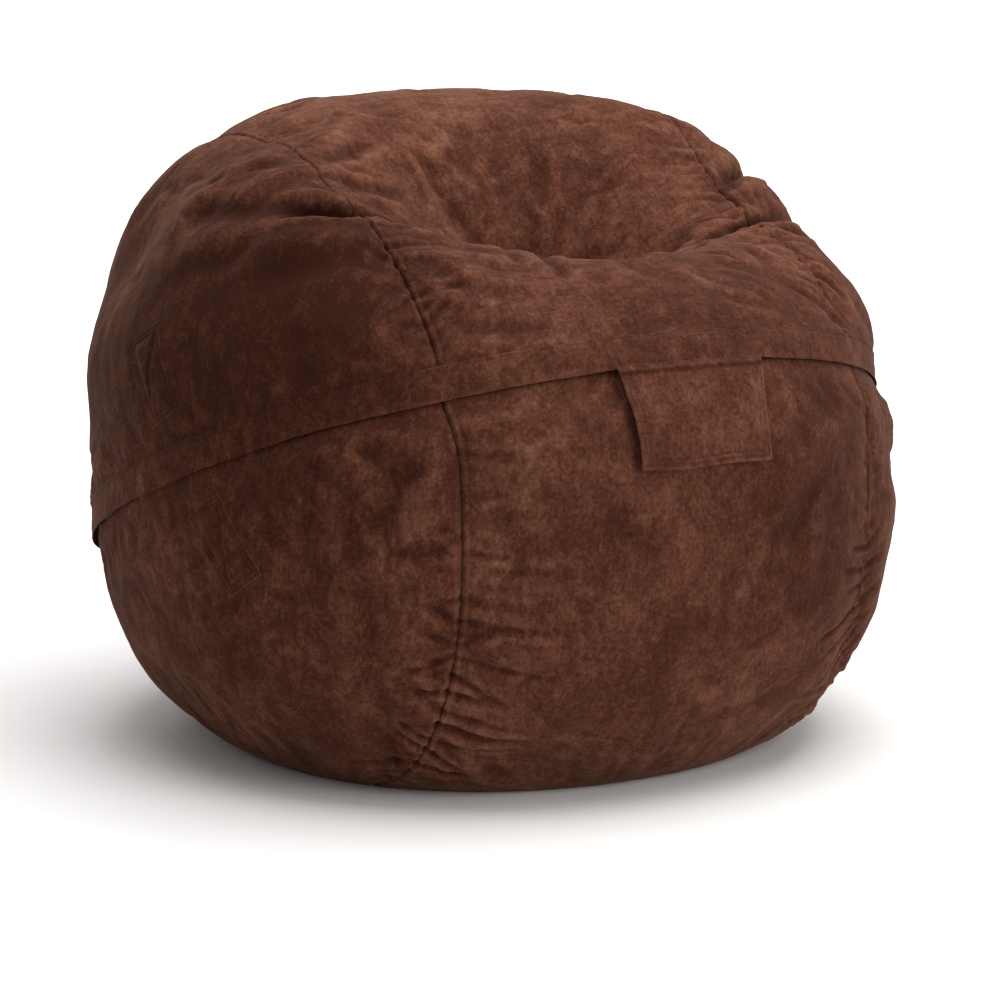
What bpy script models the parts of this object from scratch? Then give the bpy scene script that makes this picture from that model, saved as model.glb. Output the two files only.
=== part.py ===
"""Round bean bag chair with a zip-off cover.

The filled bag is a squashed ball that stands on a flat base and is dented by a seat. A zip runs round it
at the waist, in a plane that rises towards the front. Two round side panels and the band between them are
each cut at the waist, so the cover has an upper and a lower half. A flap hides the zip, a cloth tab hangs
at the front, and each side carries two sewn patches. Inside are a two-piece liner and its foam filling.
+X is the seated person's left, the front faces -Y, and the base lies on Z = 0.
"""

import math

import bmesh
import bpy
import numpy as np
from mathutils import Matrix, Vector

# Body of the filled bag
HALF_WIDTH = 0.480  # middle to side, at the girth
HALF_FRONT = 0.468  # middle to front
HALF_BACK = 0.500  # middle to back
MIDDLE_Y = -0.0125  # where that middle lies, so that the chair's box is centred on the origin
PLAN_POWER = 2.15  # 2 is an ellipse, more is squarer
GIRTH_HEIGHT = 0.300  # height of the widest level
CROWN = 0.485  # rise from the girth to the top of the back
BASE_SHARE = 0.69  # radius of the flat base over the girth's
LOW_POWERS = (4.5, 1.95)  # roundness below the girth: plan, height
HIGH_POWERS = (3.2, 3.0)  # roundness above it
FRONT_DROP = 0.35  # share of the crown that the front loses
ARM_RISE = (0.095, -0.01)  # share of the crown that the -X and the +X arm gain
ARM_PLACE = (0.30, -0.16, 0.11, 0.16)  # |x|, y from the middle, and reach along each
SEAT_DEPTH = 0.41  # share of the crown that the seat takes away
SEAT_PLACE = (0.0, -0.106, 0.160, 0.083)  # x, y from the middle, and reach along each

# Waist: a circle in a plane that rises towards the front
WAIST_RADIUS = 0.485
WAIST_TILT = math.atan(0.408)
WAIST_CENTRE = np.array([0.0, MIDDLE_Y + 0.020, 0.323])
BELT_REACH = 0.045  # how far from the waist the circle shapes the body

# Cover
SEAM_X = 0.278  # plane of the seam between the band and each side panel
CLOTH = 0.0020  # suede with its backing
SEAM_GAP = 0.0004  # half the gap between two panels at a seam
ROUND_STEPS = 26  # facets of each panel along its seam, so that neighbours meet
BAND_COLUMNS = 12
SIDE_COLUMNS = 8
SIDE_SPREAD = 1.6  # more puts a side panel's facets closer together at its seam
ZIP_GAP = 0.0080  # half the gap between the upper and lower cover
LINER_DEPTH = 0.0180  # from the cover's outside to the liner's, which leaves room for both at the facets
LINER_CLOTH = 0.0015
LINER_GAP = 0.0010
FILL_DEPTH = 0.0250
BALL_COLUMNS = 16
BALL_STEPS = 16  # facets of each liner half from waist to waist; the filling has twice as many

# Zip, as radii from the waist circle and heights across it
ZIP_START = 0.0  # degrees round from +X, where the closed slider parks
ZIP_END = -270.0
TAPE_DEPTH = 0.0057
TAPE_CLOTH = 0.0010
TAPE_EDGES = (0.0006, 0.0120)
COIL_RADIUS = 0.0014
COIL_OFFSET = 0.0016
COIL_DEPTH = 0.0040
ZIP_STEPS = 54
TAPE_STEPS = 72  # the same facets as the coil's, so that they lie flat together
HINGE_GAP = 4.0  # degrees between each end of the zip and the strip over the uncut quarter
HINGE_EDGE = ZIP_GAP - 0.0006
HINGE_CLOTH = 0.0018
HINGE_DEPTH = 0.0010
HINGE_STEPS = 14
STOP = (0.0030, 0.0080, 0.0012)
STOP_PAST = 0.2  # degrees beyond each end of the coil
STOP_LIFT = 0.0004  # over the coil
SLIDER_ANGLE = -1.4
SLIDER = (0.0110, 0.0108, 0.0015)  # along the zip, across it, plate thickness
SLIDER_WALL = 0.0011
SLIDER_REACH = 0.0027  # how far its walls reach in over the coils
SLIDER_CLEARANCE = 0.0009  # between its plate and the coils
EAR = (0.0010, 0.0036, 0.0026)  # along the zip, across it, thickness
EAR_SPACING = 0.0046
BRIDGE = (0.0060, 0.0030, 0.0042)  # joins the ears to the top plate
BRIDGE_HEIGHT = -0.0046
BRIDGE_LIFT = 0.0010
BRIDGE_LAP = 0.0004  # how far the ears run up into it
PIN_RADIUS = 0.0006
PIN_LAP = 0.0001  # how far each end of the pin stands in its ear
PIN_HEIGHT = -0.0110  # across the waist, below the flap's edge
PIN_LIFT = 0.0032  # outside the waist circle
PULLER = (0.0030, 0.0135, 0.0011)  # width at the eye, length, thickness
PULLER_LEAN = math.radians(10.0)  # out from the cover, which swells below the waist
PULLER_GRIP = (0.0065, 0.0085)
PULLER_GRIP_SWELL = 1.12  # its thickness over the stem's
PULLER_BORE = 0.0009
PULLER_EYE = 0.0015  # outside radius of the eye
EYE_TRIM = 0.0001  # how much narrower the eye is than the stem

# Flap over the zip: height across the waist, lift off the body
FLAP_PROFILE = ((0.033, 0.0006), (0.020, 0.0030), (0.008, 0.0062), (-0.006, 0.0064))
FLAP_CLOTH = 0.0020
FLAP_STEPS = 72

# Front tab
TAB_WIDTHS = (0.190, 0.174)  # at the top and the bottom
TAB_LENGTH = 0.110
TAB_CLOTH = 0.0040
TAB_MIDDLE = -0.010  # along X
TAB_TOP = -0.0125  # across the waist
TAB_LIFT = 0.0060
TAB_BOW = 0.0045  # how far its sides curve back
TAB_BULGE = 0.0045  # how far its middle stands out between top and bottom
TAB_DROP = 0.099  # its slope is taken from its top to the surface this far below
TAB_GRID = (8, 6)

# Side patches
PATCH_WIDTH = 0.056
PATCH_LENGTH = 0.104
PATCH_CLOTH = 0.0012
PATCH_LIFT = 0.0003
PATCH_GRID = (4, 8)
PATCH_CENTRES = ((0.114, -0.116), (-0.096, -0.163))  # up from the waist, back along the side
PATCH_LEANS = (math.radians(7.0), math.radians(13.0))  # foot towards the front

NORMAL = np.array([0.0, math.sin(WAIST_TILT), math.cos(WAIST_TILT)])
REARWARD = np.array([0.0, math.cos(WAIST_TILT), -math.sin(WAIST_TILT)])
SIDEWARD = np.array([1.0, 0.0, 0.0])

SUEDE = (0.088, 0.033, 0.020, 1.0)
SUEDE_DARK = (0.060, 0.023, 0.014, 1.0)
LINEN = (0.55, 0.52, 0.46, 1.0)
FOAM = (0.75, 0.66, 0.42, 1.0)
COIL_BROWN = (0.03, 0.018, 0.012, 1.0)
COIL_ROUGHNESS = 0.5
STEEL = (0.4, 0.4, 0.4, 1.0)
BRONZE = (0.30, 0.27, 0.24, 1.0)
METAL_ROUGHNESS = 0.38


def ease(t):
    t = np.clip(t, 0.0, 1.0)
    return t * t * (3.0 - 2.0 * t)


def crown_share(x, y):
    """Height above the girth over CROWN: lower in front, dented by the seat, raised at the arms."""
    arm_x, arm_y, reach_x, reach_y = ARM_PLACE
    seat_x, seat_y, wide, deep = SEAT_PLACE
    rise = np.where(x < 0.0, ARM_RISE[0], ARM_RISE[1])
    arm = rise * np.exp(-(((np.abs(x) - arm_x) / reach_x) ** 2) - ((y - arm_y) / reach_y) ** 2)
    seat = SEAT_DEPTH * np.exp(-0.5 * ((x - seat_x) / wide) ** 2 - 0.5 * ((y - seat_y) / deep) ** 2)
    return 1.0 - FRONT_DROP * ease((0.12 - y) / 0.55) + arm - seat


def body_field(p):
    """Negative inside the filled bag, zero on its surface."""
    x, y, z = p[..., 0], p[..., 1] - MIDDLE_Y, p[..., 2]
    half_y = np.where(y < 0.0, HALF_FRONT, HALF_BACK)
    plan = (np.abs(x / HALF_WIDTH) ** PLAN_POWER + np.abs(y / half_y) ** PLAN_POWER) ** (1.0 / PLAN_POWER)
    drop = GIRTH_HEIGHT / (1.0 - BASE_SHARE ** LOW_POWERS[0]) ** (1.0 / LOW_POWERS[1])
    low = plan ** LOW_POWERS[0] + (np.maximum(GIRTH_HEIGHT - z, 0.0) / drop) ** LOW_POWERS[1]
    rise = np.maximum(z - GIRTH_HEIGHT, 0.0) / (CROWN * crown_share(x, y))
    high = plan ** HIGH_POWERS[0] + rise ** HIGH_POWERS[1]
    ball = np.where(z > GIRTH_HEIGHT, high, low) - 1.0
    from_centre = p - WAIST_CENTRE
    across = from_centre @ NORMAL
    radius = np.hypot(from_centre @ SIDEWARD, from_centre @ REARWARD) / WAIST_RADIUS
    near = np.exp(-((across / BELT_REACH) ** 2))
    return np.maximum((1.0 - near) * ball + near * (radius**3 - 1.0), -8.0 * z)


def surface_hit(origins, directions):
    """Where rays from inside the bag leave it, by bisection."""
    near = np.zeros(directions.shape[:-1])
    far = np.full(directions.shape[:-1], 0.9)
    for _ in range(40):
        middle = 0.5 * (near + far)
        inside = body_field(origins + directions * middle[..., None]) < 0.0
        near = np.where(inside, middle, near)
        far = np.where(inside, far, middle)
    return origins + directions * near[..., None]


def outward(p):
    """The surface's unit normals, from the field's slope."""
    step = 1.0e-4
    slopes = [(body_field(p + step * e) - body_field(p - step * e)) for e in np.eye(3)]
    slope = np.stack(slopes, axis=-1)
    return slope / np.linalg.norm(slope, axis=-1, keepdims=True)


def belt_point(degrees, across, lift):
    """A point of the surface by its angle round the waist and height across it, lifted off it."""
    angle = np.radians(degrees)
    spoke = np.cos(angle)[..., None] * SIDEWARD + np.sin(angle)[..., None] * REARWARD
    hit = surface_hit(WAIST_CENTRE + np.asarray(across)[..., None] * NORMAL, spoke)
    return hit + outward(hit) * np.asarray(lift)[..., None]


def new_material(name, colour, roughness, metallic=0.0):
    material = bpy.data.materials.new(name)
    material.use_nodes = True
    shader = material.node_tree.nodes["Principled BSDF"]
    shader.inputs["Base Color"].default_value = colour
    shader.inputs["Roughness"].default_value = roughness
    shader.inputs["Metallic"].default_value = metallic
    material.diffuse_color = colour
    return material


def add_object(name, mesh, colour, roughness=0.9, metallic=0.0):
    piece = bpy.data.objects.new(name, mesh)
    mesh.materials.clear()
    mesh.materials.append(new_material(name, colour, roughness, metallic))
    parts.objects.link(piece)
    return piece


def grid_mesh(name, columns, rows, place, centre=WAIST_CENTRE):
    """A grid whose (u, v) in 0..1 go where place() says, with its faces turned away from centre."""
    bm = bmesh.new()
    bmesh.ops.create_grid(bm, x_segments=columns, y_segments=rows, size=0.5)
    flat = np.array([vertex.co[:] for vertex in bm.verts]) + 0.5
    for vertex, point in zip(bm.verts, place(flat[:, 0], flat[:, 1])):
        vertex.co = point
    bmesh.ops.remove_doubles(bm, verts=bm.verts, dist=1.0e-5)
    bm.normal_update()
    middle = Vector(centre)
    turned = sum(face.calc_area() * face.normal.dot(face.calc_center_median() - middle) for face in bm.faces)
    if turned < 0.0:
        bmesh.ops.reverse_faces(bm, faces=bm.faces)
    mesh = bpy.data.meshes.new(name)
    bm.to_mesh(mesh)
    bm.free()
    mesh.shade_smooth()
    return mesh


def add_cloth(name, columns, rows, place, thickness, colour=SUEDE, inward=True, centre=WAIST_CENTRE):
    """A sewn panel: an open grid with Solidify."""
    piece = add_object(name, grid_mesh(name, columns, rows, place, centre), colour)
    shell = piece.modifiers.new("cloth", "SOLIDIFY")
    shell.thickness = thickness
    shell.offset = -1.0 if inward else 1.0
    return piece


def half_turn(half):
    """Where each half of the cover starts and ends, as angles round the X axis."""
    start = -WAIST_TILT if half > 0 else math.pi - WAIST_TILT
    return start, start + math.pi


def band_place(half, edge, gap):
    """Maps (u, v) to the band between the seams: u across it, v round it from end to end."""

    def place(u, v):
        start, end = half_turn(half)
        angle = start + (end - start) * v
        across = edge * np.sin(math.pi * (u - 0.5))  # finer next to the seams
        origins = WAIST_CENTRE + half * gap * NORMAL + across[:, None] * SIDEWARD
        directions = np.stack([0.0 * angle, np.cos(angle), np.sin(angle)], axis=-1)
        return surface_hit(origins, directions)

    return place


def side_place(side, half):
    """Maps (u, v) to half of a round side panel: u from its middle to the seam, v round the seam."""

    def place(u, v):
        start, end = half_turn(half)
        angle, lean = start + (end - start) * v, 0.5 * math.pi * (1.0 - (1.0 - u) ** SIDE_SPREAD)
        origin = WAIST_CENTRE + half * ZIP_GAP * NORMAL + side * (SEAM_X + SEAM_GAP) * SIDEWARD
        directions = np.stack(
            [side * np.cos(lean), np.sin(lean) * np.cos(angle), np.sin(lean) * np.sin(angle)], axis=-1
        )
        return surface_hit(np.broadcast_to(origin, directions.shape), directions)

    return place


def ball_place(half, gap, depth):
    """Maps (u, v) to half of the whole bag, pole to pole along X, set in by depth."""

    def place(u, v):
        start, end = half_turn(half) if half else (-WAIST_TILT, 2.0 * math.pi - WAIST_TILT)
        angle, lean = start + (end - start) * v, math.pi * u
        directions = np.stack([np.cos(lean), np.sin(lean) * np.cos(angle), np.sin(lean) * np.sin(angle)], axis=-1)
        hit = surface_hit(np.broadcast_to(WAIST_CENTRE + half * gap * NORMAL, directions.shape), directions)
        return hit - depth * outward(hit)

    return place


def add_cover():
    edge = SEAM_X - SEAM_GAP
    add_cloth("seat_band_upper", BAND_COLUMNS, ROUND_STEPS, band_place(1, edge, ZIP_GAP), CLOTH)
    add_cloth("base_band_lower", BAND_COLUMNS, ROUND_STEPS, band_place(-1, edge, ZIP_GAP), CLOTH)
    for side, word in ((-1, "right"), (1, "left")):
        add_cloth(f"{word}_side_upper", SIDE_COLUMNS, ROUND_STEPS, side_place(side, 1), CLOTH)
        add_cloth(f"{word}_side_lower", SIDE_COLUMNS, ROUND_STEPS, side_place(side, -1), CLOTH)


def add_filling():
    for half, word in ((1, "upper"), (-1, "lower")):
        place = ball_place(half, LINER_GAP, LINER_DEPTH)
        add_cloth(f"liner_{word}", BALL_COLUMNS, BALL_STEPS, place, LINER_CLOTH, LINEN)
    foam = grid_mesh("foam_filling", BALL_COLUMNS, 2 * BALL_STEPS, ball_place(0, 0.0, FILL_DEPTH))
    add_object("foam_filling", foam, FOAM)


def waist_frame(degrees, lift, across):
    """A frame on the waist: X along the zip, Y across it and up, Z out of the bag."""
    angle = math.radians(degrees)
    spoke = Vector(math.cos(angle) * SIDEWARD + math.sin(angle) * REARWARD)
    up = Vector(NORMAL)
    place = Matrix((up.cross(spoke), up, spoke)).transposed().to_4x4()
    place.translation = Vector(WAIST_CENTRE) + spoke * (WAIST_RADIUS + lift) + up * across
    return place


def ring_strip(name, start, end, steps, radius, edges, thickness, colour):
    """A strip of cloth round the waist circle: a short line with Screw and Solidify."""
    turn = math.radians(start)
    line = [Vector((math.cos(turn) * radius, math.sin(turn) * radius, height)) for height in edges]
    mesh = bpy.data.meshes.new(name)
    mesh.from_pydata(line, [(0, 1)], [])
    piece = add_object(name, mesh, colour)
    piece.matrix_world = Matrix(
        (SIDEWARD.tolist(), REARWARD.tolist(), NORMAL.tolist())
    ).transposed().to_4x4()
    piece.location = Vector(WAIST_CENTRE)
    screw = piece.modifiers.new("round the waist", "SCREW")
    screw.angle = math.radians(end - start)
    screw.steps = screw.render_steps = steps
    screw.use_merge_vertices = abs(end - start) > 359.0
    screw.merge_threshold = 0.00005
    screw.use_normal_calculate = True
    shell = piece.modifiers.new("cloth", "SOLIDIFY")
    shell.thickness, shell.offset = thickness, 0.0
    return piece


def add_coil(name, half):
    """One row of the zip's coil, as a thin round cord on its tape."""
    curve = bpy.data.curves.new(name, "CURVE")
    curve.dimensions = "3D"
    curve.bevel_depth, curve.bevel_resolution, curve.use_fill_caps = COIL_RADIUS, 1, True
    spline = curve.splines.new("POLY")
    spline.points.add(ZIP_STEPS)
    for index, point in enumerate(spline.points):
        degrees = ZIP_START + (ZIP_END - ZIP_START) * index / ZIP_STEPS
        place = waist_frame(degrees, -COIL_DEPTH, half * COIL_OFFSET)
        point.co = (*place.translation, 1.0)
    add_object(name, curve, COIL_BROWN, COIL_ROUGHNESS)


def add_zip():
    for half, word in ((1, "upper"), (-1, "lower")):
        edges = [half * edge for edge in TAPE_EDGES]
        radius = WAIST_RADIUS - TAPE_DEPTH - 0.5 * TAPE_CLOTH
        ring_strip(f"zip_tape_{word}", 0.0, 360.0, TAPE_STEPS, radius, edges, TAPE_CLOTH, SUEDE_DARK)
        add_coil(f"zip_coil_{word}", half)
    start, end = ZIP_START + HINGE_GAP, 360.0 + ZIP_END - HINGE_GAP
    edges = (HINGE_EDGE, -HINGE_EDGE)
    radius = WAIST_RADIUS - HINGE_DEPTH
    ring_strip("zip_hinge_strip", start, end, HINGE_STEPS, radius, edges, HINGE_CLOTH, SUEDE)
    lift = 0.5 * STOP[2] + COIL_RADIUS - COIL_DEPTH + STOP_LIFT
    for degrees, word in ((ZIP_START - STOP_PAST, "closed"), (ZIP_END + STOP_PAST, "open")):
        stop = box_mesh(STOP, waist_frame(degrees, lift, 0.0))
        add_object(f"zip_stop_{word}", stop, STEEL, METAL_ROUGHNESS, 1.0)


def box_mesh(size, place):
    bm = bmesh.new()
    bmesh.ops.create_cube(bm, size=1.0, matrix=place @ Matrix.Diagonal((*size, 1.0)))
    mesh = bpy.data.meshes.new("box")
    bm.to_mesh(mesh)
    bm.free()
    return mesh


def outline_mesh(points, depth, place):
    """A flat outline in the frame's YZ plane, extruded along its X axis."""
    curve = bpy.data.curves.new("outline", "CURVE")
    curve.dimensions, curve.fill_mode, curve.extrude = "2D", "BOTH", 0.5 * depth
    spline = curve.splines.new("POLY")
    spline.points.add(len(points) - 1)
    spline.use_cyclic_u = True
    for point, (across, lift) in zip(spline.points, points):
        point.co = (across, lift, 0.0, 1.0)
    holder = bpy.data.objects.new("outline", curve)
    parts.objects.link(holder)
    bpy.context.view_layer.update()
    mesh = bpy.data.meshes.new_from_object(holder.evaluated_get(bpy.context.evaluated_depsgraph_get()))
    bpy.data.objects.remove(holder)
    bm = bmesh.new()
    bm.from_mesh(mesh)
    bmesh.ops.remove_doubles(bm, verts=bm.verts, dist=1.0e-6)
    upright = Matrix(((0.0, 0.0, 1.0), (1.0, 0.0, 0.0), (0.0, 1.0, 0.0))).to_4x4()
    bmesh.ops.transform(bm, matrix=place @ upright, verts=bm.verts)
    bmesh.ops.recalc_face_normals(bm, faces=bm.faces)
    bm.to_mesh(mesh)
    bm.free()
    return mesh


def rod_mesh(radius, length, place, sides=16):
    """A rod along the frame's X axis."""
    bm = bmesh.new()
    turn = Matrix.Rotation(math.pi / 2, 4, "Y")
    bmesh.ops.create_cone(
        bm, cap_ends=True, segments=sides, radius1=radius, radius2=radius, depth=length, matrix=place @ turn
    )
    mesh = bpy.data.meshes.new("rod")
    bm.to_mesh(mesh)
    bm.free()
    return mesh


def add_tool(mesh, target, operation):
    """A hidden body that a Boolean adds to, or takes from, the target."""
    tool = bpy.data.objects.new(mesh.name, mesh)
    tool.hide_render, tool.display_type = True, "WIRE"
    cutters.objects.link(tool)
    boolean = target.modifiers.new(operation.lower(), "BOOLEAN")
    boolean.operation, boolean.object = operation, tool


def add_slider():
    """A channel over the coils, and two ears with the puller's pin."""
    length, width, plate = SLIDER
    edge, wall = 0.5 * width, 0.5 * width - SLIDER_WALL
    under = COIL_RADIUS - COIL_DEPTH + SLIDER_CLEARANCE
    foot = under - SLIDER_REACH
    top = under + plate
    channel = [(-edge, foot), (-wall, foot), (-wall, under), (wall, under), (wall, foot), (edge, foot)]
    channel += [(edge, 0.5 * (top + under)), (edge - 0.5 * plate, top), (-edge + 0.5 * plate, top)]
    channel += [(-edge, 0.5 * (top + under))]
    slider_mesh = outline_mesh(channel, length, waist_frame(SLIDER_ANGLE, 0.0, 0.0))
    slider = add_object("zip_slider", slider_mesh, BRONZE, METAL_ROUGHNESS, 1.0)
    low, high = PIN_HEIGHT - 0.5 * EAR[1], BRIDGE_HEIGHT - BRIDGE_LAP
    for end in (1, -1):
        ear = (EAR[0], high - low, EAR[2])
        shift = Matrix.Translation((end * 0.5 * EAR_SPACING, 0.0, 0.0))
        place = waist_frame(SLIDER_ANGLE, PIN_LIFT, 0.5 * (high + low)) @ shift
        add_tool(box_mesh(ear, place), slider, "UNION")
    add_tool(box_mesh(BRIDGE, waist_frame(SLIDER_ANGLE, BRIDGE_LIFT, BRIDGE_HEIGHT)), slider, "UNION")
    pin = rod_mesh(PIN_RADIUS, EAR_SPACING + 2.0 * PIN_LAP, waist_frame(SLIDER_ANGLE, PIN_LIFT, PIN_HEIGHT))
    add_tool(pin, slider, "UNION")


def add_puller():
    """A flat pull with an eye round the slider's pin, hanging beside the cover."""
    width, length, plate = PULLER
    pivot = bpy.data.objects.new("puller_pivot", None)
    parts.objects.link(pivot)
    lean = Matrix.Rotation(-PULLER_LEAN, 4, "X")
    pivot.matrix_world = waist_frame(SLIDER_ANGLE, PIN_LIFT, PIN_HEIGHT) @ lean
    bpy.context.view_layer.update()
    stem = box_mesh((width, length, plate), Matrix.Translation((0.0, -0.5 * length, 0.0)))
    puller = add_object("zip_puller", stem, BRONZE, METAL_ROUGHNESS, 1.0)
    puller.parent = pivot
    world = pivot.matrix_world
    eye = rod_mesh(PULLER_EYE, width - EYE_TRIM, world)
    add_tool(eye, puller, "UNION")
    grip_width, grip_length = PULLER_GRIP
    shift = Matrix.Translation((0.0, -length + 0.5 * grip_length, 0.0))
    grip = box_mesh((grip_width, grip_length, plate * PULLER_GRIP_SWELL), world @ shift)
    add_tool(grip, puller, "UNION")
    add_tool(rod_mesh(PULLER_BORE, width * 2.0, world), puller, "DIFFERENCE")


def add_flap():
    """The strip that hangs over the zip, sewn down along its upper edge."""
    heights = [height for height, _ in FLAP_PROFILE]
    lifts = [lift for _, lift in FLAP_PROFILE]

    def place(u, v):
        rail = v * (len(FLAP_PROFILE) - 1)
        at = np.arange(len(FLAP_PROFILE))
        return belt_point(360.0 * u, np.interp(rail, at, heights), np.interp(rail, at, lifts))

    add_cloth("zip_flap", FLAP_STEPS, len(FLAP_PROFILE) - 1, place, FLAP_CLOTH, SUEDE, inward=False)


def add_tab():
    """A two-ply cloth tab at the front, with its origin on the line that it lifts about."""
    pivot = bpy.data.objects.new("tab_pivot", None)
    parts.objects.link(pivot)
    pivot.location = tab_axis()
    out = Vector(outward(belt_point(np.array([-90.0]), np.array([TAB_TOP]), np.array([0.0])))[0])
    foot = np.array([TAB_TOP - TAB_DROP])
    down_hit = belt_point(np.array([-90.0]), foot, np.array([TAB_LIFT]))[0]
    down = (Vector(down_hit) - pivot.location).normalized()
    out = (out - out.dot(down) * down).normalized()

    def place(u, v):
        x = TAB_MIDDLE + (u - 0.5) * (TAB_WIDTHS[0] + (TAB_WIDTHS[1] - TAB_WIDTHS[0]) * v)
        bow = -TAB_BOW * (2.0 * u - 1.0) ** 2 + TAB_BULGE * np.sin(math.pi * v)
        along = v * TAB_LENGTH
        return x[:, None] * SIDEWARD + along[:, None] * np.array(down) + bow[:, None] * np.array(out)

    inside = Vector(WAIST_CENTRE) - pivot.location
    tab = add_cloth("front_tab", *TAB_GRID, place, TAB_CLOTH, SUEDE, inward=False, centre=inside)
    tab.parent = pivot


def tab_axis():
    return Vector(belt_point(np.array([-90.0]), np.array([TAB_TOP]), np.array([TAB_LIFT]))[0])


def add_patches():
    """Two sewn patches on each side panel, one above and one below the zip."""
    for side, word in ((-1, "right"), (1, "left")):
        for (across, along), lean, level in zip(PATCH_CENTRES, PATCH_LEANS, ("upper", "lower")):

            def place(u, v, side=side, across=across, along=along, lean=lean):
                wide, tall = (u - 0.5) * PATCH_WIDTH, (v - 0.5) * PATCH_LENGTH
                run = along + wide * math.cos(lean) + tall * math.sin(lean)
                height = across + tall * math.cos(lean) - wide * math.sin(lean)
                origins = WAIST_CENTRE + run[:, None] * REARWARD + height[:, None] * NORMAL
                hit = surface_hit(origins, np.broadcast_to(side * SIDEWARD, origins.shape))
                return hit + PATCH_LIFT * outward(hit)

            add_cloth(f"{word}_patch_{level}", *PATCH_GRID, place, PATCH_CLOTH, SUEDE, inward=False)


for item in list(bpy.data.objects):
    bpy.data.objects.remove(item, do_unlink=True)
parts = bpy.data.collections.new("bean_bag_chair")
cutters = bpy.data.collections.new("cutters")
for group in (parts, cutters):
    bpy.context.scene.collection.children.link(group)

add_filling()
add_cover()
add_zip()
add_slider()
add_puller()
add_flap()
add_tab()
add_patches()
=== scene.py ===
"""Bean bag chair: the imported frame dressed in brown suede, on a pale studio floor."""
import math

import bpy
import numpy as np
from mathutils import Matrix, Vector


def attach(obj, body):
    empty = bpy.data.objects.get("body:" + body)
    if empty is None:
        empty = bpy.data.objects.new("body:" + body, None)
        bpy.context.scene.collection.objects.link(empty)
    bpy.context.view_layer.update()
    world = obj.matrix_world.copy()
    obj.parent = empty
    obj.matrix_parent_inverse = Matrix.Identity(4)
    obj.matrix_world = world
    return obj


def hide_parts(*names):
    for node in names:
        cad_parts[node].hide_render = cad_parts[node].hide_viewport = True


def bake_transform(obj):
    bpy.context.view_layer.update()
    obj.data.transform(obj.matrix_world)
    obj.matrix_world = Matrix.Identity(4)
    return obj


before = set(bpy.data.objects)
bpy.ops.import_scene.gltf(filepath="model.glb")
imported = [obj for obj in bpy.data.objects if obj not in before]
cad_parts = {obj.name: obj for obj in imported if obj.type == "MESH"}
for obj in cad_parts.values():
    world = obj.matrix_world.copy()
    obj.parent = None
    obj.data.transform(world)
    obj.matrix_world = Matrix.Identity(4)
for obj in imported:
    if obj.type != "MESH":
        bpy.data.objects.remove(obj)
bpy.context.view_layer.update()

# ---------------------------------------------------------------- the bag's shape, as in the CAD
HALF_WIDTH, HALF_FRONT, HALF_BACK, MIDDLE_Y = 0.480, 0.468, 0.500, -0.0125
PLAN_POWER, GIRTH_HEIGHT, CROWN, BASE_SHARE = 2.15, 0.300, 0.485, 0.69
LOW_POWERS, HIGH_POWERS, FRONT_DROP = (4.5, 1.95), (3.2, 3.0), 0.35
ARM_RISE, ARM_PLACE = (0.095, -0.01), (0.30, -0.16, 0.11, 0.16)
SEAT_DEPTH, SEAT_PLACE = 0.41, (0.0, -0.106, 0.160, 0.083)
WAIST_RADIUS, WAIST_TILT, BELT_REACH = 0.485, math.atan(0.408), 0.045
WAIST_CENTRE = np.array([0.0, MIDDLE_Y + 0.020, 0.323])
NORMAL = np.array([0.0, math.sin(WAIST_TILT), math.cos(WAIST_TILT)])
REARWARD = np.array([0.0, math.cos(WAIST_TILT), -math.sin(WAIST_TILT)])
SIDEWARD = np.array([1.0, 0.0, 0.0])
SEAM_X, SEAM_GAP, ZIP_GAP = 0.278, 0.0004, 0.0060
FLAP_TOP, FLAP_FOOT, FLAP_CLOTH, FLAP_SEAM, FLAP_WIDTH = 0.033, -0.0072, 0.0016, 0.0048, 0.040
TAB_WIDTHS, TAB_LENGTH, TAB_MIDDLE = (0.190, 0.174), 0.110, -0.010
TAB_TOP, TAB_LIFT, TAB_BOW, TAB_BULGE, TAB_DROP = -0.0125, 0.0060, 0.0045, 0.0045, 0.099
TAB_THICKNESS, TAB_STITCHES = 0.0038, (0.0052, 0.0108)  # the two rows, in from the edge
PATCH_WIDTH, PATCH_LENGTH = 0.056, 0.104
PATCH_CENTRES = ((0.114, -0.116), (-0.096, -0.163))
PATCH_LEANS = (math.radians(7.0), math.radians(13.0))
PATCH_STITCHES = (0.0034, 0.0085)


def ease(t):
    t = np.clip(t, 0.0, 1.0)
    return t * t * (3.0 - 2.0 * t)


def crown_share(x, y):
    arm_x, arm_y, reach_x, reach_y = ARM_PLACE
    seat_x, seat_y, wide, deep = SEAT_PLACE
    rise = np.where(x < 0.0, ARM_RISE[0], ARM_RISE[1])
    arm = rise * np.exp(-(((np.abs(x) - arm_x) / reach_x) ** 2) - ((y - arm_y) / reach_y) ** 2)
    seat = SEAT_DEPTH * np.exp(-0.5 * ((x - seat_x) / wide) ** 2 - 0.5 * ((y - seat_y) / deep) ** 2)
    return 1.0 - FRONT_DROP * ease((0.12 - y) / 0.55) + arm - seat


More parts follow.
